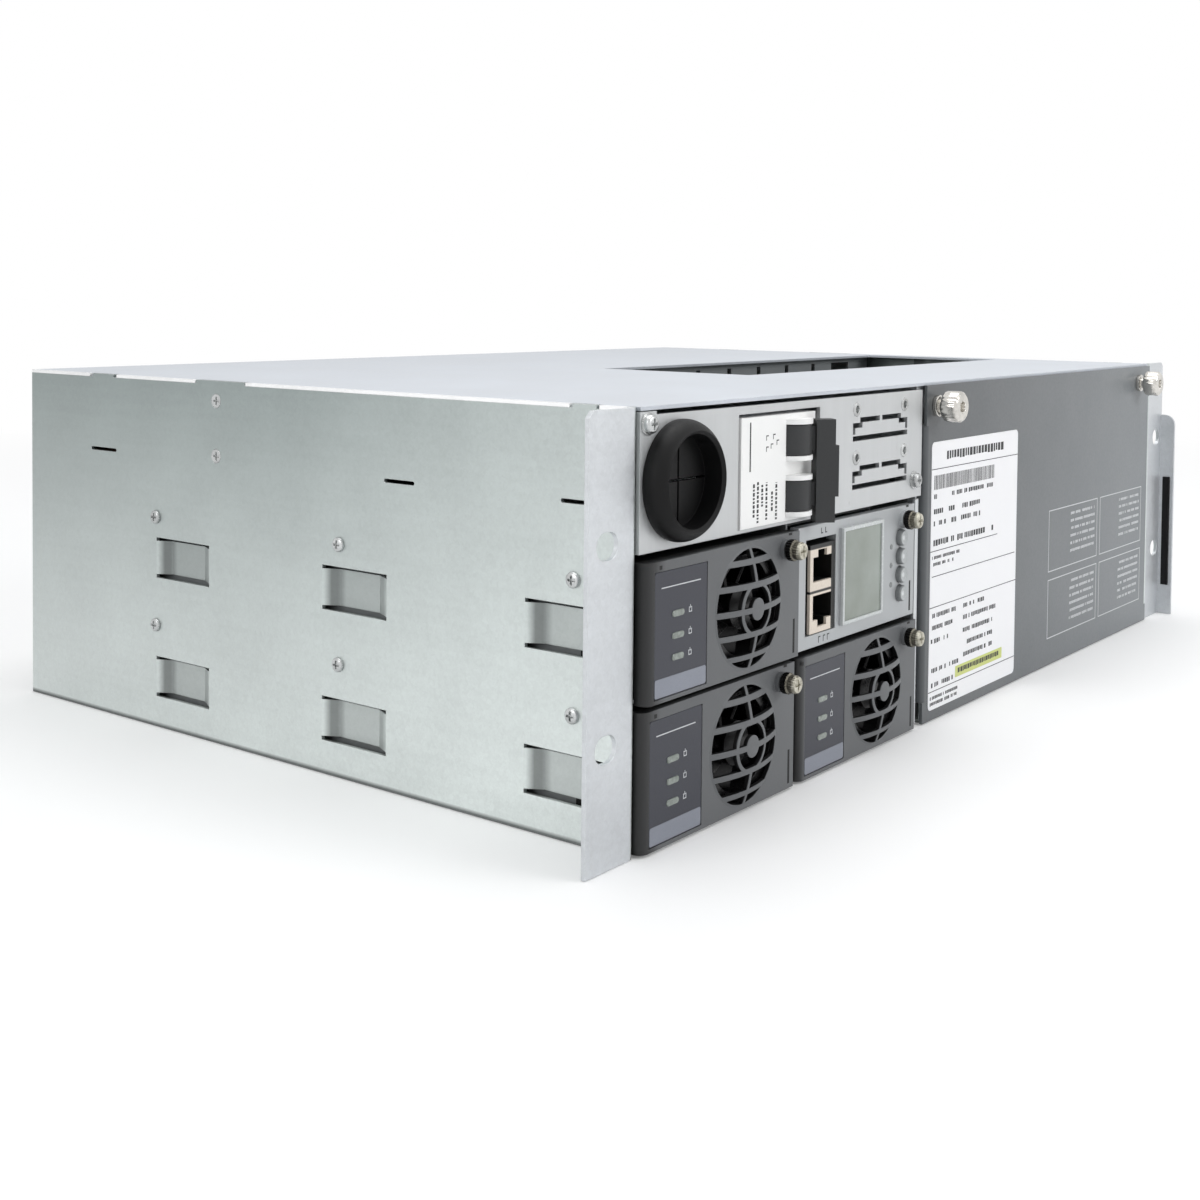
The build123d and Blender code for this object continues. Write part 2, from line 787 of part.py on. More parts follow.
# Cable grommet: a bulged rubber ring with a slit membrane
with BuildPart() as cable_grommet:
    mouth_depth = panel_front - grommet_rise
    groove_end = panel_front + panel_sheet + fit_gap
    neck = grommet_hole - fit_gap
    collar = grommet_hole + grommet_groove
    with BuildSketch(Plane(origin=(grommet_x, front, grommet_z), z_dir=(0, 0, 1))) as section:
        with BuildLine():
            Polyline((grommet_mouth + grommet_rounding, mouth_depth),
                     (grommet_mouth, mouth_depth + grommet_rounding),
                     (grommet_mouth, groove_end + grommet_groove), (collar, groove_end + grommet_groove),
                     (collar, groove_end), (neck, groove_end), (neck, panel_front),
                     (grommet_radius, panel_front))
            ThreePointArc((grommet_radius, panel_front),
                          (grommet_radius - grommet_bulge[0], panel_front - grommet_bulge[1]),
                          (grommet_mouth + grommet_rounding, mouth_depth))
        make_face()
    revolve(axis=Axis((grommet_x, front, grommet_z), (0, 1, 0)))
    disc(grommet_x, grommet_z, (panel_front, panel_front + membrane), grommet_mouth + fit_gap)
    for width, height in ((membrane_slit / 2, grommet_mouth), (grommet_mouth, membrane_slit / 2)):
        block((grommet_x - width, grommet_x + width), (panel_front - membrane, panel_front + 2 * membrane),
              (grommet_z - height, grommet_z + height), Mode.SUBTRACT)
save("cable_grommet", cable_grommet.part)

# Breaker case: two poles side by side behind one nose
nose_front = -breaker_proud
nose_back = nose_front + breaker_nose
breaker_middle = sum(breaker_x) / 2
body_x = (breaker_middle - breaker_body_width / 2, breaker_middle + breaker_body_width / 2)
with BuildPart() as breaker_body:
    block(body_x, (nose_back, breaker_rear), breaker_z)
    fillet(breaker_body.edges().filter_by(Axis.Z), breaker_corner)
    block(breaker_x, (nose_front, nose_back), breaker_z)
    for low, high in lever_zones:
        for cheek in (low - lever_cheek, high):
            with BuildSketch(level(cheek)) as collar_outline:
                with Locations((lever_x, lever_depth)):
                    Circle(lever_radius)
            extrude(amount=lever_cheek)
        with BuildSketch(level(low)) as lever_pocket:
            with Locations((lever_x, lever_depth)):
                Circle(lever_radius)
        extrude(amount=high - low, mode=Mode.SUBTRACT)
        with BuildSketch(level(low - lever_pin_hole)) as pivot:
            with Locations((lever_x, lever_depth)):
                Circle(lever_pin + shaft_gap)
        extrude(amount=high - low + 2 * lever_pin_hole, mode=Mode.SUBTRACT)
save("breaker_body", breaker_body.part)

# Breaker levers: two drums on pins, and the bar that ties them
lean = math.radians(lever_rest)
lever_plane = Plane(
    origin=(lever_x, front + lever_depth, sum(lever_bar) / 2),
    x_dir=(math.sin(lean), -math.cos(lean), 0),
    z_dir=(-math.cos(lean), -math.sin(lean), 0))
with BuildPart() as breaker_lever:
    for low, high in lever_zones:
        for radius, start, end in ((lever_radius - seat_gap, low + seat_gap, high - seat_gap),
                                   (lever_pin, low - lever_pin_reach, high + lever_pin_reach)):
            with BuildSketch(level(start)) as drum:
                with Locations((lever_x, lever_depth)):
                    Circle(radius)
            extrude(amount=end - start)
    with BuildSketch(lever_plane.offset(-lever_thickness / 2)) as bar_outline:
        with Locations(((lever_root + lever_tip) / 2, 0)):
            Rectangle(lever_tip - lever_root, lever_bar[1] - lever_bar[0])
        with Locations(((lever_root + lever_tip + lever_bulge) / 2, 0)):
            Rectangle(lever_tip + lever_bulge - lever_root, lever_bulge_length)
    extrude(amount=lever_thickness)
    with BuildSketch(lever_plane.offset(lever_neck / 2 - lever_thickness / 2)) as necks:
        for low, high in lever_zones:
            with Locations((lever_root - lever_neck / 2, (low + high - sum(lever_bar)) / 2)):
                Rectangle(2 * lever_neck, high - low - lever_neck)
    extrude(amount=lever_thickness - lever_neck)
save("breaker_lever", breaker_lever.part)

# Upright rail behind the breaker, on a foot over the upper shelf
with BuildPart() as breaker_rail:
    brim_middle = breaker_rear + seat_gap + rail_sheet / 2
    rail_back = brim_middle + rail_depth
    wing = rail_height / 2
    hat_side = wing - rail_brim
    folded_up(
        ((breaker_middle - wing, brim_middle), (breaker_middle - hat_side, brim_middle),
         (breaker_middle - hat_side, rail_back), (breaker_middle + hat_side, rail_back),
         (breaker_middle + hat_side, brim_middle), (breaker_middle + wing, brim_middle)),
        rail_sheet, (row_top(2), breaker_z[1]), rail_sheet)
    block((breaker_middle - hat_side + 1, breaker_middle + hat_side - 1), (rail_back, rail_back + panel_foot),
          (row_top(2), row_top(2) + thin_sheet))
save("breaker_rail", breaker_rail.part)

# Incoming terminals in the AC compartment
with BuildPart() as ac_terminals:
    block(ac_terminal_x, ac_terminal_depths, (row_top(2), row_top(2) + ac_terminal_height))
    chamfer(ac_terminals.edges().filter_by(Axis.X).group_by(Axis.Z)[-1], ac_terminal_height / 4)
    pole_pitch = (ac_terminal_x[1] - ac_terminal_x[0]) / ac_terminal_poles
    for pole in range(ac_terminal_poles):
        x = ac_terminal_x[0] + (pole + 0.5) * pole_pitch
        disc(x, row_top(2) + ac_terminal_height / 3,
             (ac_terminal_depths[0], ac_terminal_depths[0] + ac_terminal_bore_depth),
             ac_terminal_bore, Mode.SUBTRACT)
        with BuildSketch(level(row_top(2) + ac_terminal_height / 2)) as well:
            with Locations((x, sum(ac_terminal_depths) / 2)):
                Circle(ac_terminal_well)
        extrude(amount=ac_terminal_height, mode=Mode.SUBTRACT)
save("ac_terminals", ac_terminals.part)


def casing_box(column, row):
    """Left, right, low and high side of the sleeve behind a module's face."""
    left = column_left(column) + casing_inset
    low = row_top(row) + seat_gap
    return left, left + casing_width, low, low + casing_height


def plug_place(column, row, plug):
    """Middle of a module's rear plug, and its half width and half height."""
    left, right, low, high = casing_box(column, row)
    return (left + right) / 2, (low + high) / 2, plug[0] / 2, plug[1] / 2


def grille_openings(x, z, depth):
    """Openings of the grille: five bars, two upright ribs, and a ring round the hub."""
    rim = grille_radius - grille_sheet / 2
    with BuildSketch(facing(depth)) as openings:
        with Locations((x, z)):
            Circle(rim)
            Circle(grille_ring + grille_ring_width / 2, mode=Mode.SUBTRACT)
            Rectangle(grille_rib, 2 * rim, mode=Mode.SUBTRACT)
            Circle(grille_ring - grille_ring_width / 2)
            Circle(grille_hub, mode=Mode.SUBTRACT)
        for offset in (0, *grille_bar_rows, *(-row for row in grille_bar_rows)):
            with Locations((x, z + offset)):
                Rectangle(2 * rim, grille_bar, mode=Mode.SUBTRACT)
    return openings.sketch


def rectifier_bezel(column, row, face):
    """Moulded front of a rectifier with its domed grille and label recess."""
    x0 = column_left(column)
    z0 = bezel_low(row)
    left, right, low, high = casing_box(column, row)
    x = x0 + grille_x
    z = z0 + bezel_height / 2
    cap_radius = (grille_radius ** 2 + grille_dome ** 2) / (2 * grille_dome)
    half_way = grille_radius / 2
    cap_middle = cap_radius - grille_dome - math.sqrt(cap_radius ** 2 - half_way ** 2)
    with BuildPart() as bezel:
        block((x0, x0 + bezel_width), (face, face + bezel_plate), (z0, z0 + bezel_height))
        fillet(bezel.edges().filter_by(Axis.Z).group_by(Axis.Y)[0].sort_by(Axis.X)[0], bezel_round)
        block((left, right), (face + bezel_plate, face + bezel_depth), (low, high))
        block((left + bezel_wall, right - bezel_wall), (face + bezel_wall, face + bezel_depth),
              (low + bezel_wall, high - bezel_wall), Mode.SUBTRACT)
        disc(x, z, (face, face + bezel_wall), grille_radius - fit_gap, Mode.SUBTRACT)
        with BuildSketch(Plane(origin=(x, front + face, z), z_dir=(0, 0, 1))) as cap:
            with BuildLine():
                ThreePointArc((0, -grille_dome), (half_way, cap_middle), (grille_radius, 0))
                Line((grille_radius, 0), (grille_radius, grille_sheet))
                ThreePointArc((grille_radius, grille_sheet), (half_way, grille_sheet + cap_middle),
                              (0, grille_sheet - grille_dome))
                Line((0, grille_sheet - grille_dome), (0, -grille_dome))
            make_face()
        revolve(axis=Axis((x, front + face, z), (0, 1, 0)))
        extrude(grille_openings(x, z, face - 2 * grille_dome), amount=-3 * grille_dome,
                mode=Mode.SUBTRACT)
        block((x0 + label_left, x0 + label_left + label_width), (face, face + label_recess),
              (z0 + label_low, z0 + label_low + label_height), Mode.SUBTRACT)
        disc(captive_x(column), captive_z(row), (face - captive_collar_height, face), captive_collar)
        disc(captive_x(column), captive_z(row), (face - bezel_plate, face + 2 * bezel_plate),
             captive_shank + shaft_gap, Mode.SUBTRACT)
    return bezel.part


def module_casing(column, row, start, rear, plug):
    """Folded steel sleeve of a module, open to the front, with vents and a plug window."""
    left, right, low, high = casing_box(column, row)
    x, z, plug_x, plug_z = plug_place(column, row, plug)
    with BuildPart() as casing:
        block((left, right), (start, rear), (low, high))
        block((left + casing_sheet, right - casing_sheet), (start, rear - casing_sheet),
              (low + casing_sheet, high - casing_sheet), Mode.SUBTRACT)
        block((x - plug_x - seat_gap, x + plug_x + seat_gap), (rear - casing_sheet, rear),
              (z - plug_z - seat_gap, z + plug_z + seat_gap), Mode.SUBTRACT)
        with BuildSketch(facing(rear - casing_sheet)) as vents:
            with Locations((x, z + plug_z + vent_width)):
                with GridLocations(vent_pitch / 2, 1, casing_vents, 1):
                    SlotOverall(*casing_vent, rotation=90)
        extrude(amount=-casing_sheet, mode=Mode.SUBTRACT)
    return casing.part


def module_board(column, row, start, rear, plug):
    """Circuit board on four posts, with its heat sink, coil and rear plug."""
    left, right, low, high = casing_box(column, row)
    x, z, plug_x, plug_z = plug_place(column, row, plug)
    floor = low + casing_sheet
    top = z - plug_z
    board_left = left + board_side_gap
    board_right = right - board_side_gap
    end = rear - board_rear_gap
    with BuildPart() as board:
        block((board_left, board_right), (start + board_front_gap, end), (top - board_sheet, top))
        for post_x in (board_left + board_post_inset, board_right - board_post_inset):
            for depth in (start + board_post_front, end - board_post_rear):
                with BuildSketch(level(floor)) as post:
                    with Locations((post_x, depth)):
                        Circle(board_post)
                extrude(amount=top - board_sheet - floor)
        for fin in range(fins):
            fin_x = board_left + (fin + 1) * fin_pitch
            block((fin_x, fin_x + fin_sheet), (start + fin_front_gap, end - fin_rear_gap),
                  (top, top + fin_height))
        block((x + coil_x[0], x + coil_x[1]), (start + coil_depths[0], start + coil_depths[1]),
              (top, top + coil_height))
        block((x - plug_x, x + plug_x), (end - plug_body, rear + plug_length), (top, top + 2 * plug_z))
    return board.part


def fan_frame(column, row, face):
    """Square fan frame with a round duct and the motor carrier on three struts."""
    x = column_left(column) + grille_x
    z = bezel_low(row) + bezel_height / 2
    start = face + bezel_wall + seat_gap
    end = start + fan_depth
    corner = fan_size / 2 - fan_hole_inset
    with BuildPart() as frame:
        block((x - fan_size / 2, x + fan_size / 2), (start, end), (z - fan_size / 2, z + fan_size / 2))
        disc(x, z, (start, end), fan_duct, Mode.SUBTRACT)
        for corner_x in (x - corner, x + corner):
            for corner_z in (z - corner, z + corner):
                disc(corner_x, corner_z, (start, end), fan_hole, Mode.SUBTRACT)
        disc(x, z, (end - fan_carrier, end), fan_hub)
        with BuildSketch(facing(end - fan_carrier)) as struts:
            with Locations((x, z)):
                with PolarLocations((fan_hub + fan_duct) / 2, 3, start_angle=90):
                    Rectangle(fan_duct - fan_hub + 1, fan_strut)
        extrude(amount=-fan_carrier)
        disc(x, z, (end - 2 * fan_carrier, end), fan_shaft + shaft_gap, Mode.SUBTRACT)
    return frame.part


def fan_rotor(column, row, face):
    """Fan hub with its shaft and pitched blades."""
    x = column_left(column) + grille_x
    z = bezel_low(row) + bezel_height / 2
    start = face + bezel_wall + seat_gap + 1
    end = start + fan_depth - fan_carrier - 1 - seat_gap
    with BuildPart() as rotor:
        disc(x, z, (start, end), fan_hub)
        disc(x, z, (end, end + fan_carrier), fan_shaft)
        for blade in range(fan_blades):
            turn = math.tau * blade / fan_blades
            root = Plane(origin=(x, front + (start + end) / 2, z),
                         x_dir=(-math.sin(turn), 0, math.cos(turn)),
                         z_dir=(math.cos(turn), 0, math.sin(turn)))
            with BuildSketch(root.offset(fan_hub - 1)) as section:
                Rectangle(fan_blade_chord, fan_blade_sheet, rotation=fan_blade_pitch)
            extrude(amount=fan_duct - fan_tip_gap - fan_hub + 1)
    return rotor.part


def captive_screw(column, row, face):
    """Captive screw: a slotted head, a sleeve to grip and a long shank."""
    x = captive_x(column)
    z = captive_z(row)
    sleeve_end = face - captive_collar_height - seat_gap
    sleeve_start = sleeve_end - captive_sleeve_length
    head = sleeve_start - captive_head_height
    end = face + captive_reach
    with BuildPart() as screw:
        turned(x, z, ((0, head), (captive_head, head), (captive_head, sleeve_start),
                      (captive_sleeve, sleeve_start), (captive_sleeve, sleeve_end),
                      (captive_shank, sleeve_end), (captive_shank, end), (0, end)))
        block((x - slot_width / 2, x + slot_width / 2), (head, sleeve_start),
              (z - captive_head, z + captive_head), Mode.SUBTRACT)
    return screw.part


# Rectifiers: column, row and depth of the face; the upper one sits a little loose
rectifiers = {
    "rectifier_upper": (0, 1, -loose_proud),
    "rectifier_lower": (0, 0, -rectifier_proud),
    "rectifier_right": (1, 0, -rectifier_proud),
}
for name, (column, row, face) in rectifiers.items():
    back = face + bezel_depth
    rear = face + module_length
    save(name + "_bezel", rectifier_bezel(column, row, face))
    save(name + "_casing", module_casing(column, row, back, rear, rectifier_plug))
    save(name + "_board", module_board(column, row, back, rear, rectifier_plug))
    save(name + "_fan_frame", fan_frame(column, row, face))
    save(name + "_fan_rotor", fan_rotor(column, row, face))
    save(name + "_screw", captive_screw(column, row, face))

# Controller face with its openings and the raised frame of the display
control_left = column_left(1)
control_low = bezel_low(1)
control_face = -controller_proud
plate_depths = (control_face, plate_back)
button_axis = control_left + button_x
lcd_box = (lcd_frame[0] + lcd_rim, lcd_frame[1] - lcd_rim, lcd_frame[2] + lcd_rim, lcd_frame[3] - lcd_rim)


def on_control(box):
    """Left and right, then low and high, of a zone on the controller's face."""
    return (control_left + box[0], control_left + box[1]), (control_low + box[2], control_low + box[3])


def button_z(number):
    """Height of a controller button."""
    return control_low + button_low + number * button_pitch


with BuildPart() as controller_face:
    block((control_left, control_left + bezel_width), plate_depths,
          (control_low, control_low + bezel_height))
    span_x, span_z = on_control(lcd_frame)
    block(span_x, (control_face - lcd_rise, control_face), span_z)
    span_x, span_z = on_control(lcd_box)
    block(span_x, (control_face - lcd_rise, plate_back), span_z, Mode.SUBTRACT)
    span_x, span_z = on_control(jack_opening)
    block(span_x, plate_depths, span_z, Mode.SUBTRACT)
    for number in range(buttons):
        disc(button_axis, button_z(number), plate_depths, button_radius + 2 * fit_gap, Mode.SUBTRACT)
    disc(captive_x(1), captive_z(1), (control_face - captive_collar_height, control_face), captive_collar)
    disc(captive_x(1), captive_z(1), (control_face - captive_collar_height, plate_back),
         captive_shank + shaft_gap, Mode.SUBTRACT)
save("controller_face", controller_face.part)
save("controller_screw", captive_screw(1, 1, control_face))

# Display behind the face
with BuildPart() as controller_display:
    span_x, span_z = on_control(lcd_box)
    block((span_x[0] - lcd_rim / 2, span_x[1] + lcd_rim / 2), (plate_back, plate_back + lcd_sheet),
          (span_z[0] - lcd_rim / 2, span_z[1] + lcd_rim / 2))
    block((span_x[0] + fit_gap, span_x[1] - fit_gap), (control_face + lcd_recess, plate_back),
          (span_z[0] + fit_gap, span_z[1] - fit_gap))
save("controller_display", controller_display.part)

# Two stacked network jacks, the lower one upside down
with BuildPart() as network_jacks:
    span_x, span_z = on_control(jack_opening)
    jack_x = span_x[1] - seat_gap - jack_width / 2
    jack_z = span_z[0] + seat_gap + jack_height
    jack_front = control_face + seat_gap
    jack_back = jack_front + jack_depth
    block((jack_x - jack_width / 2, jack_x + jack_width / 2), (jack_front, jack_back),
          (jack_z - jack_height, jack_z + jack_height))
    with BuildSketch(facing(jack_front)) as mouths:
        for sign in (-1, 1):
            mouth_z = jack_z + sign * (jack_height / 2 - 1)
            with Locations((jack_x, mouth_z)):
                Rectangle(*jack_mouth)
            with Locations((jack_x, mouth_z + sign * jack_mouth[1] / 2)):
                Rectangle(jack_latch[0], 2 * jack_latch[1])
    extrude(amount=-jack_well, mode=Mode.SUBTRACT)
save("network_jacks", network_jacks.part)

# Push buttons, each with a dished face and a stem
stem_end = plate_back + button_stem_length
for number in range(buttons):
    cap = control_face - button_proud
    with BuildPart() as push_button:
        turned(button_axis, button_z(number), (
            (0, cap + button_dish), (button_dish_radius, cap + button_dish / 3),
            (button_rim_radius, cap), (button_radius, cap + button_dish),
            (button_radius, plate_back), (button_stem, plate_back), (button_stem, stem_end), (0, stem_end)))
    save(f"button_{number + 1}", push_button.part)

# Controller boards: one behind the face with a switch for each button, one lying behind it
front_board = stem_end + button_travel + seat_gap + switch_height
main_board = front_board + board_sheet
with BuildPart() as controller_board:
    left, right, low, high = casing_box(1, 1)
    x, z, plug_x, plug_z = plug_place(1, 1, controller_plug)
    board_edge = control_left + lcd_frame[0]
    top = z - plug_z
    rear = control_face + controller_length
    end = rear - board_rear_gap
    post_inset = board_side_gap + board_post_inset
    block((board_edge, button_axis + switch_radius), (front_board, main_board),
          (low + switch_board_lift, captive_z(1) - captive_tab - 2 * seat_gap))
    for number in range(buttons):
        disc(button_axis, button_z(number), (front_board - switch_height, front_board), switch_radius)
    block((left + board_side_gap, right - board_side_gap), (main_board, end), (top - board_sheet, top))
    for post_x in (left + post_inset, right - post_inset):
        for depth in (main_board + controller_post_front, end - board_post_rear):
            with BuildSketch(level(low + casing_sheet)) as post:
                with Locations((post_x, depth)):
                    Circle(board_post)
            extrude(amount=top - board_sheet - low - casing_sheet)
    block((x - plug_x, x + plug_x), (end - plug_body, rear + plug_length), (top, top + 2 * plug_z))
save("controller_board", controller_board.part)
save("controller_casing", module_casing(1, 1, main_board + seat_gap, rear, controller_plug))

# Backplane, with a socket round each module's plug
with BuildPart() as backplane:
    block((-inner + thin_sheet + seat_gap, bay_left), (board_depth, board_depth + board_sheet), board_z)
save("backplane", backplane.part)

socket_depths = (module_length - rectifier_proud + seat_gap, board_depth)
with BuildPart() as backplane_sockets:
    for column, row in ((0, 0), (0, 1), (1, 0), (1, 1)):
        plug = controller_plug if (column, row) == (1, 1) else rectifier_plug
        x, z, plug_x, plug_z = plug_place(column, row, plug)
        block((x - plug_x - socket_wall, x + plug_x + socket_wall), socket_depths,
              (z - plug_z - socket_wall, z + plug_z + socket_wall))
        block((x - plug_x - fit_gap, x + plug_x + fit_gap), socket_depths,
              (z - plug_z - fit_gap, z + plug_z + fit_gap), Mode.SUBTRACT)
save("backplane_sockets", backplane_sockets.part)

# Two bars behind the backplane, with posts for cable lugs in the cabling bay
with BuildPart() as busbars:
    bar_front = board_depth + board_sheet + seat_gap
    for low in bar_lows:
        block(bar_x, (bar_front, bar_front + bar_sheet), (low, low + bar_height))
        for number in range(posts):
            disc(bar_x[1] - (number + 0.5) * post_pitch, low + bar_height / 2,
                 (bar_front - post_length, bar_front), post_radius)
save("busbars", busbars.part)

# Front cover of the cabling bay, folded back at both sides
with BuildPart() as front_cover:
    face_middle = cover_front + thin_sheet / 2
    cover_left = cover_x[0] + thin_sheet / 2
    cover_right = cover_x[1] - thin_sheet / 2
    returns_z = (bay_lip + seat_gap, thumb_z - thumb_tab[1] - seat_gap)
    folded_up(
        ((cover_left, cover_return), (cover_left, face_middle), (cover_right, face_middle),
         (cover_right, cover_return)),
        thin_sheet, returns_z)
    for z in ((cover_z[0], returns_z[0]), (returns_z[1], cover_z[1])):
        block(cover_x, (cover_front, cover_front + thin_sheet), z)
    for x in thumb_x:
        disc(x, thumb_z, (cover_front, cover_front + thin_sheet), thumb_shank + fit_gap, Mode.SUBTRACT)
save("front_cover", front_cover.part)


def thumbscrew(x):
    """Thumbscrew with a fluted head, a neck, a collar on the cover and a short shank."""
    seat = cover_front - fit_gap
    collar_front = seat - thumb_collar_height
    neck_front = collar_front - thumb_neck_length
    head = neck_front - thumb_head_length
    with BuildPart() as screw:
        turned(x, thumb_z, (
            (0, head), (thumb_head - thumb_chamfer, head), (thumb_head, head + thumb_chamfer),
            (thumb_head, neck_front - thumb_chamfer), (thumb_head - thumb_chamfer, neck_front),
            (thumb_neck, neck_front), (thumb_neck, collar_front),
            (thumb_collar, collar_front), (thumb_collar, seat), (thumb_shank, seat),
            (thumb_shank, thumb_reach), (0, thumb_reach)))
        with BuildSketch(facing(head)) as flutes:
            with Locations((x, thumb_z)):
                with PolarLocations(thumb_head, thumb_flutes):
                    Circle(thumb_flute)
        extrude(amount=-thumb_head_length, mode=Mode.SUBTRACT)
        cross_recess(x, thumb_z, head, thumb_recess)
    return screw.part


for name, x in zip(("thumbscrew_left", "thumbscrew_right"), thumb_x):
    save(name, thumbscrew(x))

# Slotted wall across the cabling bay
with BuildPart() as comb_wall:
    comb_left = bay_left + thin_sheet / 2
    comb_right = inner - 3 * thin_sheet
    comb_middle = comb_depth + thin_sheet / 2
    folded_up(
        ((comb_left, comb_middle + fold_width), (comb_left, comb_middle), (comb_right, comb_middle),
         (comb_right, comb_middle + fold_width)),
        thin_sheet, (thin_sheet, cover_low - seat_gap))
    slot_middle = sum(comb_slot_z) / 2
    slot_height = comb_slot_z[1] - comb_slot_z[0]
    with BuildSketch(facing(comb_depth)) as comb_cuts:
        for number in range(comb_slots):
            with Locations((comb_slot_x + number * comb_slot_pitch, slot_middle)):
                Rectangle(comb_slot_width, slot_height)
        with Locations((sum(comb_window) / 2, slot_middle)):
            Rectangle(comb_window[1] - comb_window[0], slot_height)
    extrude(amount=-thin_sheet, mode=Mode.SUBTRACT)
save("comb_wall", comb_wall.part)

# Rail on two feet in the cabling bay, and the load terminals on it
with BuildPart() as terminal_rail:
    hat_back = rail_front + rail_depth
    brim = rail_front + rail_sheet / 2
    wing = rail_height / 2
    with BuildSketch(side(rail_x[0])) as hat:
        with BuildLine():
            FilletPolyline(
                (brim, rail_z - wing), (brim, rail_z - wing + rail_brim),
                (hat_back, rail_z - wing + rail_brim), (hat_back, rail_z + wing - rail_brim),
                (brim, rail_z + wing - rail_brim), (brim, rail_z + wing), radius=rail_sheet)
        trace(line_width=rail_sheet)
    extrude(amount=rail_x[1] - rail_x[0])
    for x in (rail_x[0], rail_x[1] - fold_width):
        block((x, x + fold_width), (hat_back, hat_back + thin_sheet), (thin_sheet, rail_z))
        block((x, x + fold_width), (rail_front, hat_back), (thin_sheet, 2 * thin_sheet))
save("terminal_rail", terminal_rail.part)

with BuildPart() as load_terminals:
    block_back = rail_front - seat_gap
    first = sum(rail_x) / 2 - terminal_pitch * (terminal_count - 1) / 2
    for number in range(terminal_count):
        x = first + number * terminal_pitch
        with BuildSketch(side(x - terminal_width / 2)) as profile:
            with Locations((block_back - terminal_depth / 2, rail_z)):
                Rectangle(terminal_depth, terminal_height)
            chamfer(profile.vertices().group_by(Axis.X)[0], terminal_width)
        extrude(amount=terminal_width)
        for z in (rail_z - terminal_height / 4, rail_z + terminal_height / 4):
            disc(x, z, (block_back - terminal_depth, block_back - terminal_depth / 2), terminal_width / 4,
                 Mode.SUBTRACT)
save("load_terminals", load_terminals.part)
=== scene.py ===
import bpy
import math
import random
from mathutils import Matrix, Vector


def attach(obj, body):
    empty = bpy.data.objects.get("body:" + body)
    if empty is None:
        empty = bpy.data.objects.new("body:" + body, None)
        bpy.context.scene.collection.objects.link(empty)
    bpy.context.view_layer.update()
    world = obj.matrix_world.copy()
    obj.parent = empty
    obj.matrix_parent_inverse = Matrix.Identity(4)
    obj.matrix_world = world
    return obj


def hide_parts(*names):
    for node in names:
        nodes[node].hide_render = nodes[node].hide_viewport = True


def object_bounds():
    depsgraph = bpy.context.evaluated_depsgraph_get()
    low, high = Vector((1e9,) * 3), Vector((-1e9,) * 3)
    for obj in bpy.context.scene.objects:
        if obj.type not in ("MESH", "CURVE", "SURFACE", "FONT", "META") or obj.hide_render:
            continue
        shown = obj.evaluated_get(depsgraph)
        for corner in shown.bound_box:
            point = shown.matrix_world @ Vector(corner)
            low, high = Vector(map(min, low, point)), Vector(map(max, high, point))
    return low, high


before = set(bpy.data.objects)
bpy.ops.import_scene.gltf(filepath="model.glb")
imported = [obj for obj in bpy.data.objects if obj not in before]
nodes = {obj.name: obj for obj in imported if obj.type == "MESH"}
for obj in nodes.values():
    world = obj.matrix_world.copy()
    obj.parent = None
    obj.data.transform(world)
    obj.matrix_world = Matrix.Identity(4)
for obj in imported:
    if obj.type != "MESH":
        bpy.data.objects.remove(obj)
cad_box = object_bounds()

# Millimetres below, as in the solids: X right, depth behind the ear plane, Z up.
# These sizes repeat those of the solids that the looks follow.
half_depth = 150.0
body_height = 130.0
window_starts = (10.0, 99.2, 189.0)
column_left = (-218.0, -129.5)
bezel_low = (0.7, 44.03)
bezel_width, bezel_height = 84.8, 41.3
captive_in, captive_down = 9.4, 4.9
grille_x, grille_radius, grille_rise = 54.2, 19.4, 3.6
button_x, button_low, button_pitch = 73.4, 9.4, 6.83
jack_x = (-122.0, -106.8)
jack_rows = ((62.95, 77.0), (48.1, 62.05))
cover_depth = -1.5
breaker_depth = -0.8

# Column, row and depth of each module's front
fronts = {"rectifier_lower": (0, 0, -2.2), "rectifier_upper": (0, 1, -3.5), "rectifier_right": (1, 0, -2.2),
          "controller": (1, 1, -1.0)}
rectifiers = ("rectifier_lower", "rectifier_upper", "rectifier_right")

edge_softening = 0.3
front_y, rear_y = -half_depth / 1000.0, half_depth / 1000.0


def spot(x, depth, z):
    """Point in metres from millimetres and depth behind the ear plane."""
    return Vector((x, depth - half_depth, z)) / 1000.0


def captive_centre(column, row):
    """X and Z of a module's captive screw, in millimetres."""
    return column_left[column] + bezel_width - captive_in, bezel_low[row] + bezel_height - captive_down


def colour(red, green, blue):
    """Linear colour of a screen colour given from 0 to 255."""
    linear = []
    for value in (red, green, blue):
        value /= 255.0
        linear.append(value / 12.92 if value <= 0.04045 else ((value + 0.055) / 1.055) ** 2.4)
    return (*linear, 1.0)


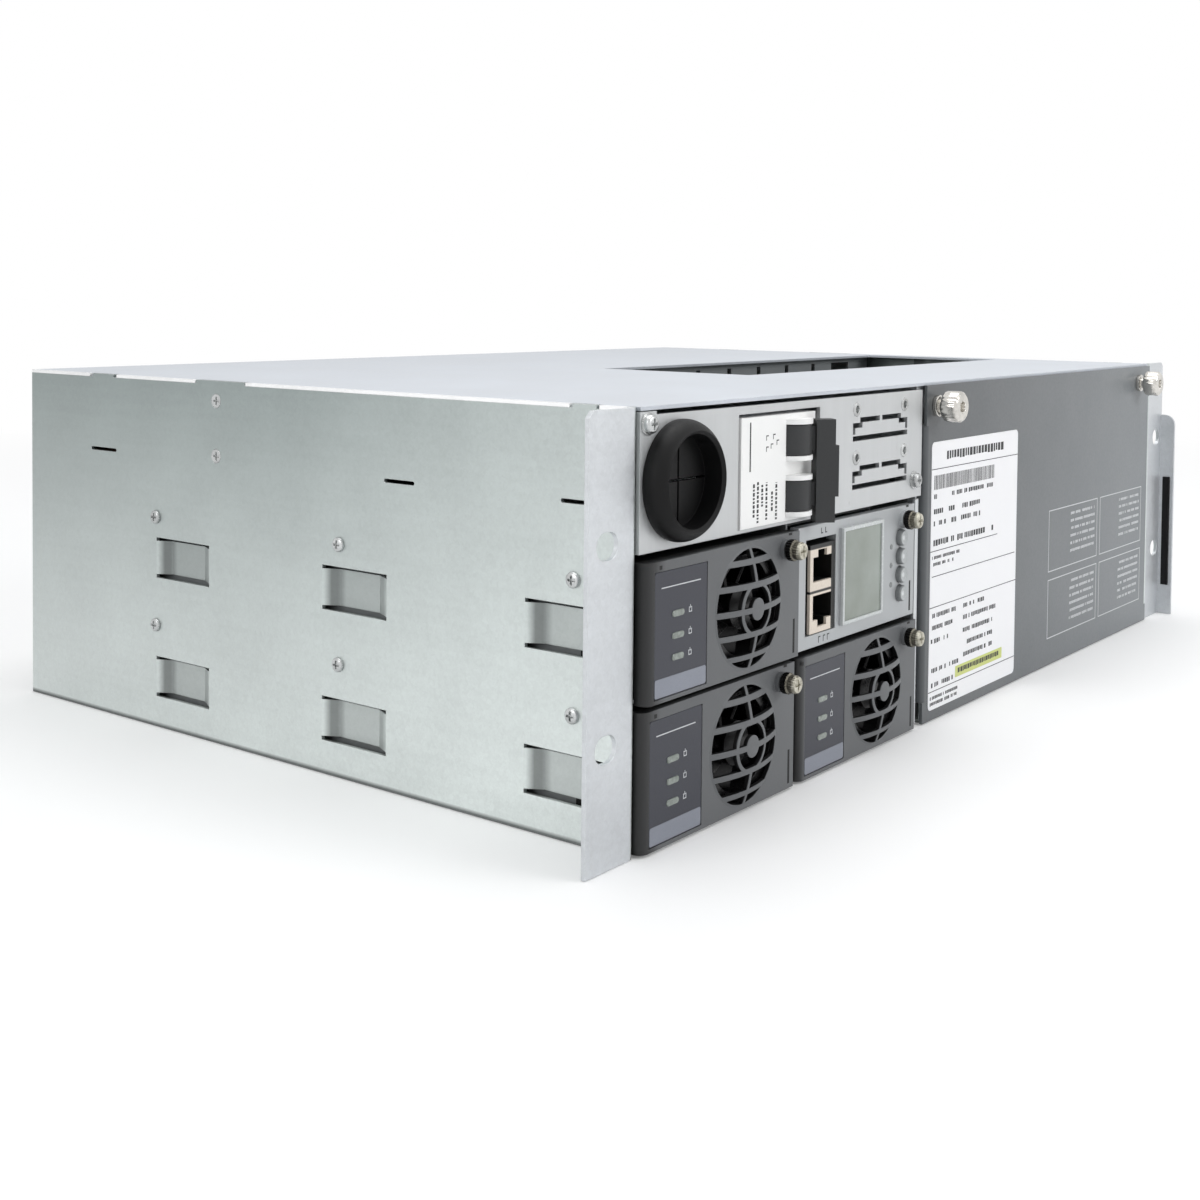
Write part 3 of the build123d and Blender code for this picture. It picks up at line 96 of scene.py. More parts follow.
class Finish:
    """A node material on one Principled surface, with short calls for its textures."""

    def __init__(self, name, rough=0.5, metallic=0.0, coat=0.0, specular=0.5):
        self.material = bpy.data.materials.new(name)
        self.material.use_nodes = True
        self.tree = self.material.node_tree
        self.tree.nodes.clear()
        self.output = self.node("ShaderNodeOutputMaterial")
        self.surface = self.node("ShaderNodeBsdfPrincipled")
        self.tree.links.new(self.surface.outputs["BSDF"], self.output.inputs["Surface"])
        self.surface.inputs["Metallic"].default_value = metallic
        self.surface.inputs["Roughness"].default_value = rough
        self.surface.inputs["Coat Weight"].default_value = coat
        self.surface.inputs["Specular IOR Level"].default_value = specular
        self.place = self.node("ShaderNodeTexCoord").outputs["Object"]
        self.soft = None

    def node(self, kind, **settings):
        made = self.tree.nodes.new(kind)
        for key, value in settings.items():
            setattr(made, key, value)
        return made

    def put(self, socket, value):
        if hasattr(value, "links"):
            self.tree.links.new(value, socket)
        else:
            socket.default_value = value

    def calc(self, operation, first, *others):
        """A math node over one value, or a chain of them over several."""
        for other in others or (0.0,):
            made = self.node("ShaderNodeMath", operation=operation)
            self.put(made.inputs[0], first)
            self.put(made.inputs[1], other)
            first = made.outputs[0]
        return first

    def stretched(self, scale):
        made = self.node("ShaderNodeMapping")
        self.tree.links.new(self.place, made.inputs["Vector"])
        made.inputs["Scale"].default_value = scale
        return made.outputs["Vector"]

    def noise(self, scale, detail=3.0, stretch=(1, 1, 1), rough=0.55):
        made = self.node("ShaderNodeTexNoise")
        self.tree.links.new(self.stretched(stretch), made.inputs["Vector"])
        made.inputs["Scale"].default_value = scale
        made.inputs["Detail"].default_value = detail
        made.inputs["Roughness"].default_value = rough
        return made.outputs["Fac"]

    def cells(self, scale):
        """A random grey for each crystal-like cell."""
        made = self.node("ShaderNodeTexVoronoi")
        self.tree.links.new(self.place, made.inputs["Vector"])
        made.inputs["Scale"].default_value = scale
        parts = self.node("ShaderNodeSeparateColor")
        self.tree.links.new(made.outputs["Color"], parts.inputs["Color"])
        return parts.outputs["Red"]

    def span(self, value, low, high, start=0.0, end=1.0):
        """The value moved from low and high to start and end, and held there outside them."""
        made = self.node("ShaderNodeMapRange")
        self.put(made.inputs["Value"], value)
        for key, number in (("From Min", low), ("From Max", high), ("To Min", start), ("To Max", end)):
            made.inputs[key].default_value = number
        return made.outputs["Result"]

    def spread(self, noise, start=0.0, end=1.0):
        """A noise moved from its usual range to start and end."""
        return self.span(noise, 0.3, 0.7, start, end)

    def axis(self, letter):
        parts = self.node("ShaderNodeSeparateXYZ")
        self.tree.links.new(self.place, parts.inputs["Vector"])
        return parts.outputs[letter]

    def sideways(self, low, high, start=0.0, end=1.0):
        """A change with the distance from the middle plane, in millimetres."""
        return self.span(self.calc("ABSOLUTE", self.axis("X")), low / 1000.0, high / 1000.0, start, end)

    def away(self, x, z):
        """Distance in metres from a line along the depth at X and Z, in millimetres."""
        across = self.calc("SUBTRACT", self.axis("X"), x / 1000.0)
        up = self.calc("SUBTRACT", self.axis("Z"), z / 1000.0)
        return self.calc("SQRT", self.calc("ADD", self.calc("POWER", across, 2.0),
                                           self.calc("POWER", up, 2.0)))

    def blend(self, amount, first, second, kind="MIX"):
        """Mix of two colours: sockets 0, 6 and 7 are the colour mode's factor and inputs, 2 its output."""
        made = self.node("ShaderNodeMix", data_type="RGBA", blend_type=kind)
        self.put(made.inputs[0], amount)
        self.put(made.inputs[6], first)
        self.put(made.inputs[7], second)
        return made.outputs[2]

    def lit(self, tone, light):
        """The tone times a grey value."""
        grey = self.node("ShaderNodeCombineColor")
        for socket in grey.inputs[:3]:
            self.tree.links.new(light, socket)
        return self.blend(1.0, tone, grey.outputs["Color"], "MULTIPLY")

    def paint(self, value):
        self.put(self.surface.inputs["Base Color"], value)

    def rough(self, value):
        self.put(self.surface.inputs["Roughness"], value)

    def softened(self):
        """Normal of the surface with its edges rounded."""
        if self.soft is None:
            self.soft = self.node("ShaderNodeBevel", samples=3)
            self.soft.inputs["Radius"].default_value = edge_softening / 1000.0
        return self.soft.outputs["Normal"]

    def bump(self, height, distance, strength=1.0):
        """Surface relief in millimetres over softened edges."""
        made = self.node("ShaderNodeBump")
        made.inputs["Strength"].default_value = strength
        made.inputs["Distance"].default_value = distance / 1000.0
        self.put(made.inputs["Height"], height)
        self.tree.links.new(self.softened(), made.inputs["Normal"])
        self.tree.links.new(made.outputs["Normal"], self.surface.inputs["Normal"])

    def edges(self, amount):
        """The amount on sharp edges and 0 on flat ground."""
        flat = self.node("ShaderNodeNewGeometry")
        product = self.node("ShaderNodeVectorMath", operation="DOT_PRODUCT")
        self.tree.links.new(self.softened(), product.inputs[0])
        self.tree.links.new(flat.outputs["Normal"], product.inputs[1])
        return self.calc("MULTIPLY", self.span(product.outputs["Value"], 0.98, 0.65), amount)


def pressed_shade(made):
    """Painted shade in the pressed-in bridges of the side windows, deepest on their rear ramps."""
    bridge_shade, ramp_shade = 0.27, 0.66
    ramp_start, ramp_end = (0.0195, 0.0255), (0.0303, 0.0306)
    bridges = made.calc("MULTIPLY", made.sideways(218.5, 219.7, 1.0, 0.0), made.sideways(215.5, 215.8))
    ramps = []
    for start in window_starts:
        along = made.calc("ADD", made.axis("Y"), (half_depth - start) / 1000.0)
        ramps.append(made.calc("MULTIPLY", made.span(along, *ramp_start, 0.0, ramp_shade),
                               made.span(along, *ramp_end, 1.0, 0.0)))
    return made.calc("MULTIPLY", bridges, made.calc("MAXIMUM", *ramps, bridge_shade))


def galvanised(name, low_tone, high_tone, rough=0.42, metallic=0.75, contrast=0.07, ears=None, along=0.0,
               rim=None):
    """Zinc-coated sheet: small crystals, faint rolling streaks, and painted light that changes with height.
    ears: tone of what stands outside the body; along: how much lighter the front and darker the rear
    is painted; rim: tone of a painted highlight on the side edges."""
    made = Finish(name, rough, metallic)
    # Painted light by height, from low_tone at the bottom to high_tone at the top, weaker towards the front
    painted_light_by_height = made.span(made.axis("Z"), 0.0, body_height / 1000.0)
    if along:
        painted_light_by_height = made.calc("MULTIPLY", painted_light_by_height, made.span(made.axis("Y"), front_y, 0.0, 0.55, 1.0))
    tone = made.blend(painted_light_by_height, colour(*low_tone), colour(*high_tone))
    if ears:
        outside = made.sideways(220.1, 220.6)
        tone = made.blend(outside, tone, colour(*ears))
    # Painted highlight on the side edges
    if rim:
        tone = made.blend(made.sideways(218.6, 219.1), tone, colour(*rim))
    # Painted highlight on the edges
    tone = made.blend(made.edges(0.7), tone, colour(238, 241, 241))
    crystals = made.calc("MULTIPLY", made.calc("ADD", made.cells(620.0), made.cells(1500.0)), 0.5)
    cloud = made.noise(28.0, 4.0)
    streak = made.noise(240.0, 2.0, (0.06, 0.06, 1.6))
    # Crystals, clouds and streaks of the sheet, and painted light: lighter at the front, darker at the rear
    light = made.calc("MULTIPLY", made.span(crystals, 0.0, 1.0, 1.0 - contrast, 1.0 + contrast * 0.6),
                      made.spread(cloud, 0.955, 1.03), made.spread(streak, 0.985, 1.015),
                      made.span(made.axis("Y"), front_y, rear_y, 1.0 + along, 1.0 - along))
    base = made.lit(tone, light)
    if ears:
        # Painted shade in the window bridges
        base = made.blend(pressed_shade(made), base, colour(26, 28, 28))
        # Painted contact shadow along the foot of the side panels, not on the ears
        painted_contact_shadow = made.calc("MULTIPLY", made.span(made.axis("Z"), 0.0006, 0.0018, 0.8, 0.0),
                         made.calc("SUBTRACT", 1.0, outside))
        base = made.blend(painted_contact_shadow, base, colour(52, 55, 55))
    made.paint(base)
    made.rough(made.calc("ADD", made.span(crystals, 0.0, 1.0, rough - 0.07, rough + 0.07),
                         made.spread(cloud, -0.03, 0.05)))
    made.bump(made.noise(1100.0, 2.0), 0.008, 0.5)
    return made.material


def brushed(name, tone, rough, metallic, grain=(1.0, 1.0, 0.05), wear=0.06, marks=0.5):
    """Rolled or brushed sheet with fine scratches, small marks, and bright cut edges lightened further by a
    painted highlight.
    """
    made = Finish(name, rough, metallic)
    fine = made.noise(1500.0, 3.0, grain)
    wide = made.noise(180.0, 3.0, grain)
    cloud = made.noise(22.0, 4.0)
    speck = made.span(made.noise(420.0, 2.0, (1.0, 1.0, 0.35)), 0.70, 0.78, 1.0, 1.0 - 0.3 * marks)
    worn = (1.0 - wear * 0.5, 1.0 + wear * 0.3)
    light = made.calc("MULTIPLY", made.spread(fine, *worn), made.spread(wide, *worn),
                      made.spread(cloud, 0.97, 1.02), speck)
    # Edges: bright cut metal, lightened further by a painted highlight
    made.paint(made.blend(made.edges(0.6), made.lit(colour(*tone), light), colour(236, 238, 240)))
    made.rough(made.calc("ADD", made.spread(fine, rough - 0.06, rough + 0.08),
                         made.spread(cloud, -0.03, 0.04)))
    made.bump(made.calc("ADD", fine, made.calc("MULTIPLY", wide, 0.5)), 0.008, 0.5)
    return made.material


def moulded(name, tone, rough, grain, relief, worn, edge_wear_and_highlight_tone=None, coat=0.0, cloudy=0.05, specular=0.5,
            across=0.0):
    """Moulded plastic, rubber or paint: fine texture, soft clouding, and edges lightened by wear and a
    painted highlight.
    across: painted light, how much darker the left end of the front cover is, and how much lighter its right
    end."""
    made = Finish(name, rough, 0.0, coat, specular)
    fine = made.noise(grain, 4.0, rough=0.6)
    cloud = made.noise(35.0, 4.0)
    light = made.calc("MULTIPLY", made.spread(fine, 1.0 - cloudy, 1.0 + cloudy),
                      made.spread(cloud, 1.0 - cloudy, 1.0 + cloudy))
    # Painted light across the front cover
    if across:
        light = made.calc("MULTIPLY", light,
                          made.span(made.axis("X"), -0.03, 0.21, 1.0 - across, 1.0 + across))
    # Edges lightened by wear and a painted highlight
    edge_wear_and_highlight = edge_wear_and_highlight_tone or tuple(min(255, part + 45) for part in tone)
    made.paint(made.blend(made.edges(worn), made.lit(colour(*tone), light), colour(*edge_wear_and_highlight)))
    made.rough(made.calc("ADD", made.spread(fine, rough - 0.06, rough + 0.06),
                         made.spread(cloud, -0.04, 0.05)))
    made.bump(fine, relief, 0.6)
    return made.material


def bright(name, tone, rough, dark=0.25):
    """Plated or polished metal with turning marks, darker painted reflections and a painted highlight on the
    edges.
    """
    made = Finish(name, rough, 1.0)
    turned = made.noise(700.0, 3.0, (0.4, 4.0, 0.4))
    cloud = made.noise(160.0, 3.0)
    # Painted reflections: darker clouds on the metal
    base = made.blend(made.span(cloud, 0.35, 0.65, 0.0, dark), colour(*tone), colour(70, 70, 70))
    # Painted highlight on the edges
    made.paint(made.blend(made.edges(0.5), base, colour(240, 240, 238)))
    made.rough(made.spread(turned, rough - 0.06, rough + 0.1))
    made.bump(turned, 0.01, 0.5)
    return made.material


def grained(name, low_tone, high_tone, rough, scale, relief, detail=3.0, coat=0.0):
    """Smooth plastic with a slight grain between two close tones."""
    made = Finish(name, rough, coat=coat)
    grain = made.noise(scale, detail)
    made.paint(made.blend(made.spread(grain), colour(*low_tone), colour(*high_tone)))
    made.bump(grain, relief, 0.4)
    return made.material


def box_mask(made, x, z):
    """1 inside an upright box given in millimetres, 0 outside, with a soft border."""
    soft = 0.15 / 1000.0
    sides = []
    for letter, (low, high) in (("X", x), ("Z", z)):
        for edge, sign in ((low, 1.0), (high, -1.0)):
            ahead = made.calc("MULTIPLY", made.calc("SUBTRACT", made.axis(letter), edge / 1000.0), sign)
            sides.append(made.span(ahead, -soft, soft))
    return made.calc("MULTIPLY", *sides)


def behind(made, depth, soft=0.1):
    """1 behind a depth given in millimetres, 0 in front of it."""
    level = (depth - half_depth) / 1000.0
    return made.span(made.axis("Y"), level - soft / 1000.0, level + soft / 1000.0)


def dress(names, material):
    for name in names:
        thing = nodes[name]
        if not thing.material_slots:
            thing.data.materials.append(material)
        for slot in thing.material_slots:
            slot.material = material


# Sheet metal
panel_metal = galvanised("galvanised_panel", (218, 224, 222), (152, 161, 160), ears=(199, 202, 205),
                         along=0.09)
cover_metal = galvanised("cover_sheet_metal", (193, 198, 205), (193, 198, 205), metallic=0.45,
                         contrast=0.05, along=0.085, rim=(254, 254, 254))
inner_metal = galvanised("inner_sheet_metal", (150, 153, 154), (142, 146, 148), rough=0.5, metallic=0.4,
                         contrast=0.08)
plate_metal = brushed("plate_metal", (200, 202, 203), 0.42, 0.5)
face_metal = brushed("controller_metal", (178, 181, 183), 0.45, 0.35, wear=0.04, marks=0.3)
strip_metal = brushed("divider_metal", (214, 217, 219), 0.4, 0.5)
painted = moulded("grey_paint", (104, 108, 111), 0.42, 900.0, 0.015, 0.3, coat=0.15, cloudy=0.02,
                  across=0.36)

dress(["side_panel_left", "side_panel_right", "rear_panel", "floor_tray"], panel_metal)
dress(["top_cover"], cover_metal)
dress(["lower_shelf", "upper_shelf", "column_divider", "comb_wall", "ac_rear_wall", "breaker_rail",
       "terminal_rail", "rectifier_upper_casing", "rectifier_lower_casing", "rectifier_right_casing",
       "controller_casing"], inner_metal)
dress(["ac_panel"], plate_metal)
dress(["bay_divider"], strip_metal)
dress(["controller_face"], face_metal)
dress(["front_cover"], painted)

# Plastics and rubber
fan_black = moulded("fan_black", (8, 8, 9), 0.3, 1500.0, 0.01, 0.15, specular=0.35)
dress([module + part for module in rectifiers for part in ("_fan_frame", "_fan_rotor")], fan_black)
rubber = moulded("black_rubber", (12, 12, 13), 0.5, 1100.0, 0.03, 0.16, (58, 58, 60), cloudy=0.15,
                 specular=0.22)
dress(["cable_grommet", "ear_strip"], rubber)
white_plastic = moulded("breaker_white", (252, 252, 251), 0.36, 1900.0, 0.012, 0.1, (250, 250, 250),
                        cloudy=0.012)
dress(["breaker_body"], white_plastic)
lever_plastic = moulded("lever_grey", (58, 59, 60), 0.44, 1800.0, 0.02, 0.35, specular=0.3)
dress(["breaker_lever"], lever_plastic)
terminal_plastic = moulded("terminal_grey", (96, 99, 102), 0.5, 1800.0, 0.02, 0.2)
dress(["load_terminals", "ac_terminals", "backplane_sockets"], terminal_plastic)

# Plain screws, which the detailed ones below stand in for
dress(["side_screws", "flush_screws", "panel_studs", "ac_panel_screws"],
      bright("plated_screw", (196, 199, 200), 0.28))
dress(["thumbscrew_left", "thumbscrew_right"], bright("bright_screw", (222, 219, 212), 0.17, dark=0.3))


def bezel_finish(name, column, row, face):
    """Grey moulded front, with painted shade at its left end, on its sides behind the face and on the flanks
    of its grille bars behind their outer skin.
    """
    left_fade = 0.07
    end_fade = ((0.0035, 0.009), (0.001, 0.005))[column]
    skin_depth = 1.2
    made = Finish(name, 0.5)
    fine = made.noise(2200.0, 4.0, rough=0.6)
    cloud = made.noise(35.0, 4.0)
    base = made.blend(made.spread(fine), colour(97, 99, 101), colour(107, 109, 111))
    base = made.blend(made.spread(cloud, 0.0, 0.25), base, colour(88, 90, 93))
    start = column_left[column] / 1000.0
    left_shade = made.span(made.axis("X"), start, start + left_fade, 0.28, 0.0)
    base = made.blend(left_shade, base, colour(56, 57, 59))
    # Edges lightened by wear and a painted highlight
    base = made.blend(made.edges(0.4), base, colour(160, 162, 164))
    # Deep shade at the left end, wider in the left column
    end_shade = made.span(made.axis("X"), start + end_fade[0], start + end_fade[1], 0.9, 0.0)
    base = made.blend(end_shade, base, colour(13, 13, 14))
    # The dome is a cap of this ball: what lies inside the ball is a flank of a bar
    ball = (grille_radius ** 2 + grille_rise ** 2) / (2.0 * grille_rise)
    x, z = column_left[column] + grille_x, bezel_low[row] + bezel_height / 2
    from_ball = made.node("ShaderNodeVectorMath", operation="DISTANCE")
    made.tree.links.new(made.place, from_ball.inputs[0])
    from_ball.inputs[1].default_value = spot(x, face - grille_rise + ball, z)
    inside = made.span(from_ball.outputs["Value"], (ball - 0.3) / 1000.0, (ball - 0.2) / 1000.0, 1.0, 0.0)
    near = made.span(made.away(x, z), (grille_radius - 0.6) / 1000.0, (grille_radius - 0.4) / 1000.0,
                     1.0, 0.0)
    flank = made.calc("MULTIPLY", inside, near)
    # Painted shade on the flanks of the grille bars and on the bezel's sides behind its face
    painted_depth_shade = made.calc("MAXIMUM", flank, behind(made, face + skin_depth, 0.8))
    made.paint(made.blend(painted_depth_shade, base, colour(9, 9, 10)))
    made.rough(made.spread(fine, 0.44, 0.58))
    made.bump(fine, 0.02, 0.6)
    return made.material


def button_finish():
    """Pale rubber caps with a painted highlight in the dish and a painted shadow round the rim."""
    dish_edge, rim_edge = (0.0006, 0.0011), (0.0024, 0.0028)
    made = Finish("button_rubber", 0.35)
    pitch = button_pitch / 1000.0
    from_first = made.calc("SUBTRACT", made.axis("Z"), (bezel_low[1] + button_low) / 1000.0 - pitch / 2)
    up = made.calc("SUBTRACT", made.calc("FLOORED_MODULO", from_first, pitch), pitch / 2)
    across = made.calc("SUBTRACT", made.axis("X"), (column_left[1] + button_x) / 1000.0)
    radius = made.calc("SQRT", made.calc("ADD", made.calc("POWER", across, 2.0),
                                         made.calc("POWER", up, 2.0)))
    grain = made.noise(1500.0, 3.0)
    base = made.blend(made.spread(grain), colour(172, 176, 177), colour(186, 190, 191))
    # Painted highlight in the dish
    base = made.blend(made.span(radius, *dish_edge, 0.8, 0.0), base, colour(226, 229, 230))
    # Painted shadow round the rim
    base = made.blend(made.span(radius, *rim_edge, 0.0, 0.6), base, colour(58, 60, 62))
    made.paint(base)
    made.rough(made.spread(grain, 0.3, 0.4))
    made.bump(grain, 0.01, 0.5)
    return made.material


dress([f"button_{number}" for number in range(1, 5)], button_finish())


def captive_finish(name, column, row, face):
    """Dark knurled sleeve with a worn, yellowish head."""
    collar_out, sleeve_out, rib_waves = 3.9, 5.9, 26.0
    made = Finish(name, 0.36, 0.9)
    x, z = captive_centre(column, row)
    across = made.calc("SUBTRACT", made.axis("X"), x / 1000.0)
    up = made.calc("SUBTRACT", made.axis("Z"), z / 1000.0)
    turn = made.calc("ARCTAN2", up, across)
    ribs = made.calc("SINE", made.calc("MULTIPLY", turn, rib_waves))
    sleeve = behind(made, face - sleeve_out)
    collar = behind(made, face - collar_out)
    grime = made.noise(900.0, 4.0)
    patches = made.span(grime, 0.35, 0.65)
    head = made.blend(patches, colour(158, 154, 140), colour(206, 203, 190))
    dark = made.blend(patches, colour(78, 75, 68), colour(132, 128, 116))
    base = made.blend(patches, colour(22, 22, 22), colour(44, 43, 42))
    made.paint(made.blend(collar, made.blend(sleeve, head, dark), base))
    made.rough(made.spread(grime, 0.28, 0.48))
    relief = made.calc("MULTIPLY", ribs, sleeve)
    made.bump(made.calc("ADD", relief, made.calc("MULTIPLY", grime, 0.4)), 0.06, 0.8)
    return made.material


captive = {}
for module, place in fronts.items():
    captive[module] = captive_finish(module + "_captive", *place)
    dress([module + "_screw"], captive[module])
    if module in rectifiers:
        dress([module + "_bezel"], bezel_finish(module + "_front", *place))


def board_finish():
    """Green circuit board with traces, pads and parts in several tones."""
    made = Finish("circuit_board", 0.45)
    cell = made.cells(140.0)
    trace = made.span(made.noise(420.0, 2.0, (1.0, 0.12, 1.0)), 0.52, 0.56)
    green = made.blend(trace, colour(22, 78, 50), colour(38, 112, 70))
    made.paint(made.blend(made.span(cell, 0.86, 0.9), green, colour(150, 150, 146)))
    made.bump(trace, 0.03, 0.6)
    return made.material


dress(["rectifier_upper_board", "rectifier_lower_board", "rectifier_right_board", "controller_board",
       "backplane"], board_finish())
dress(["busbars"], brushed("copper_bar", (196, 122, 86), 0.32, 1.0, grain=(0.05, 1.0, 1.0)))

# Network jacks: cream fronts; black inside their wells, as painted shade, and on the rest of the shells
shell = Finish("jack_shell", 0.42)
grain = shell.noise(1600.0, 3.0)
cream = shell.blend(shell.spread(grain), colour(222, 209, 194), colour(234, 223, 210))
jack_frames = shell.calc("MAXIMUM", *(box_mask(shell, jack_x, jack_z) for jack_z in jack_rows))
jack_front = shell.calc("SUBTRACT", 1.0, behind(shell, 0.3))
# Painted shade inside the wells: black behind the cream fronts
shell.paint(shell.blend(shell.calc("MULTIPLY", jack_frames, jack_front), colour(12, 12, 12), cream))
shell.bump(grain, 0.012, 0.5)
dress(["network_jacks"], shell.material)

# Display: clear rim around a grey-green glass
glass = Finish("display_glass", 0.16, coat=0.6)
glass_x = (column_left[1] + 31.0, column_left[1] + 54.6)
glass_z = (bezel_low[1] + 7.6, bezel_low[1] + 35.4)
haze = glass.noise(70.0, 3.0)
fall = glass.span(glass.axis("Z"), glass_z[0] / 1000.0, glass_z[1] / 1000.0)
tone = glass.calc("ADD", glass.calc("MULTIPLY", fall, 0.75), glass.spread(haze, -0.1, 0.25))
green = glass.blend(tone, colour(150, 158, 144), colour(190, 200, 194))
glass.paint(glass.blend(box_mask(glass, glass_x, glass_z), colour(206, 209, 209), green))
glass.rough(glass.spread(haze, 0.12, 0.22))
glass.bump(haze, 0.01, 0.3)
dress(["controller_display"], glass.material)


# New pieces
def mesh_piece(name, points, faces, material, body):
    shape = bpy.data.meshes.new(name)
    shape.from_pydata([tuple(point) for point in points], [], faces)
    shape.update()
    thing = bpy.data.objects.new(name, shape)
    bpy.context.scene.collection.objects.link(thing)
    shape.materials.append(material)
    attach(thing, body)
    return thing


def rounded(x, z, radius, steps):
    """Corner-rounded outline in X and Z, anticlockwise as seen from the front."""
    outline = []
    for cx, cz, start in ((x[1] - radius, z[1] - radius, 0), (x[0] + radius, z[1] - radius, 90),
                          (x[0] + radius, z[0] + radius, 180), (x[1] - radius, z[0] + radius, 270)):
        for step in range(steps + 1):
            angle = math.radians(start + 90.0 * step / steps)
            outline.append((cx + radius * math.cos(angle), cz + radius * math.sin(angle)))
    return outline


def skin(faces, first, levels, count):
    """Adds the faces between rings of as many points, which follow each other from the first point."""
    for level in range(levels - 1):
        for step in range(count):
            low, high = first + level * count, first + (level + 1) * count
            following = (step + 1) % count
            faces.append((low + step, low + following, high + following, high + step))


def slab(points, faces, x, z, depth, radius, soften, steps=6):
    """Adds a plate with rounded corners and a softened front edge to a list of points and faces."""
    rings = [(depth[1], 0.0), (depth[0] + soften, 0.0), (depth[0] + 0.3 * soften, 0.3 * soften),
             (depth[0], soften)]
    first = len(points)
    count = 4 * (steps + 1)
    for level, inset in rings:
        ring = rounded((x[0] + inset, x[1] - inset), (z[0] + inset, z[1] - inset),
                       max(radius - inset, 0.02), steps)
        points.extend(spot(px, level, pz) for px, pz in ring)
    skin(faces, first, len(rings), count)
    faces.append(tuple(first + (len(rings) - 1) * count + step for step in range(count)))
    faces.append(tuple(first + step for step in reversed(range(count))))


def plate(name, x, z, depth, radius, material, body, soften):
    points, faces = [], []
    slab(points, faces, x, z, depth, radius, soften)
    return mesh_piece(name, points, faces, material, body)


def marks(name, boxes, depth, material, body, lift=0.03):
    """Printed marks: thin flat boxes, each given as x range and z range, on a surface at a depth."""
    points, faces = [], []
    for x, z in boxes:
        first = len(points)
        for level in (depth - lift, depth):
            points.extend(spot(px, level, pz) for px, pz in
                          ((x[0], z[0]), (x[1], z[0]), (x[1], z[1]), (x[0], z[1])))
        faces.append(tuple(first + corner for corner in range(4)))
        for corner in range(4):
            following = (corner + 1) % 4
            faces.append((first + corner, first + 4 + corner, first + 4 + following, first + following))
    return mesh_piece(name, points, faces, material, body)


def words(boxes, x, z, height, rng, dense):
    """A line of short blocks that stands for small print, from x[0] to x[1] with its top at z."""
    at = x[0]
    while at < x[1] - 0.6 * height:
        width = height * rng.uniform(0.35, 0.8)
        if rng.random() < dense:
            low = z - height * rng.uniform(0.85, 1.0)
            boxes.append(((at, min(at + width, x[1])), (low, z)))
        at += width + height * 0.22


def frame_lines(boxes, x, z, width):
    boxes.append((x, (z[0], z[0] + width)))
    boxes.append((x, (z[1] - width, z[1])))
    boxes.append(((x[0], x[0] + width), (z[0] + width, z[1] - width)))
    boxes.append(((x[1] - width, x[1]), (z[0] + width, z[1] - width)))


ink = moulded("print_black", (44, 45, 47), 0.6, 2500.0, 0.004, 0.0, cloudy=0.15)
pale_ink = moulded("print_pale", (206, 208, 211), 0.55, 2500.0, 0.004, 0.0, cloudy=0.06)
paper = moulded("label_paper", (248, 248, 250), 0.42, 1400.0, 0.006, 0.05, (250, 250, 250), cloudy=0.01)


def recess_depth(kind, drive, radius, angle):
    """How far a point of the head is sunk, from 0 to 1, for a cross, hexagonal or round recess."""
    u, v = abs(radius * math.cos(angle)), abs(radius * math.sin(angle))
    if kind == "cross":
        arm = max(0.0, (0.2 * drive - min(u, v)) / 0.12 + 0.5)
        return min(1.0, max(0.0, (drive - max(u, v)) / 0.15), arm)
    reach = max(u, 0.5 * u + 0.866 * v) if kind == "hex" else radius
    return min(1.0, max(0.0, (drive - reach) / 0.15))


def screw_mesh(points, faces, centre, axis, rings, top, drive, sink, recess="cross", ridges=0, ripple=0.0,
               steps=72):
    """Adds a turned screw whose axis lies level. rings: distance along the axis and radius, with True
    where it is knurled, from the tip up to the rim of the head; top: height of the crown over the rim;
    drive and sink: half width and depth of the recess; ridges and ripple: number and depth of the
    knurling's grooves."""
    axis, base = Vector(axis), Vector(centre)
    across = Vector((0, 0, 1)).cross(axis).normalized()
    over = axis.cross(across)
    first = len(points)
    angles = [math.tau * step / steps for step in range(steps)]

    def add(along, radius, angle):
        outward = across * math.cos(angle) + over * math.sin(angle)
        points.append((base + axis * along + outward * radius) / 1000.0)

    for along, radius, *knurled in rings:
        for angle in angles:
            groove = ripple * (0.5 - 0.5 * math.cos(angle * ridges)) ** 2 if knurled else 0.0
            add(along, radius - groove, angle)
    rim_height, rim_radius = rings[-1][:2]
    levels = 14
    for level in range(1, levels):
        radius = rim_radius * (1.0 - level / levels)
        crown = rim_height + top * (1.0 - (radius / rim_radius) ** 2)
        for angle in angles:
            add(crown - sink * recess_depth(recess, drive, radius, angle), radius, angle)
    count = len(rings) + levels - 1
    skin(faces, first, count, steps)
    faces.append(tuple(first + step for step in reversed(range(steps))))
    faces.append(tuple(first + (count - 1) * steps + step for step in range(steps)))


def screws(name, plain, centres, axis, rings, top, drive, sink, material, body, slot, **shape):
    """One piece with a detailed screw at each centre, in place of the plain solid."""
    points, faces = [], []
    for centre in centres:
        screw_mesh(points, faces, centre, axis, rings, top, drive, sink, **shape)
    thing = mesh_piece(name, points, faces, material, body)
    thing.data.shade_smooth()
    thing.data.set_sharp_from_angle(angle=math.radians(35.0))
    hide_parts(plain)


def front_point(x, z):
    """Centre on the ear plane, in millimetres of the frame."""
    return (x, -half_depth, z)


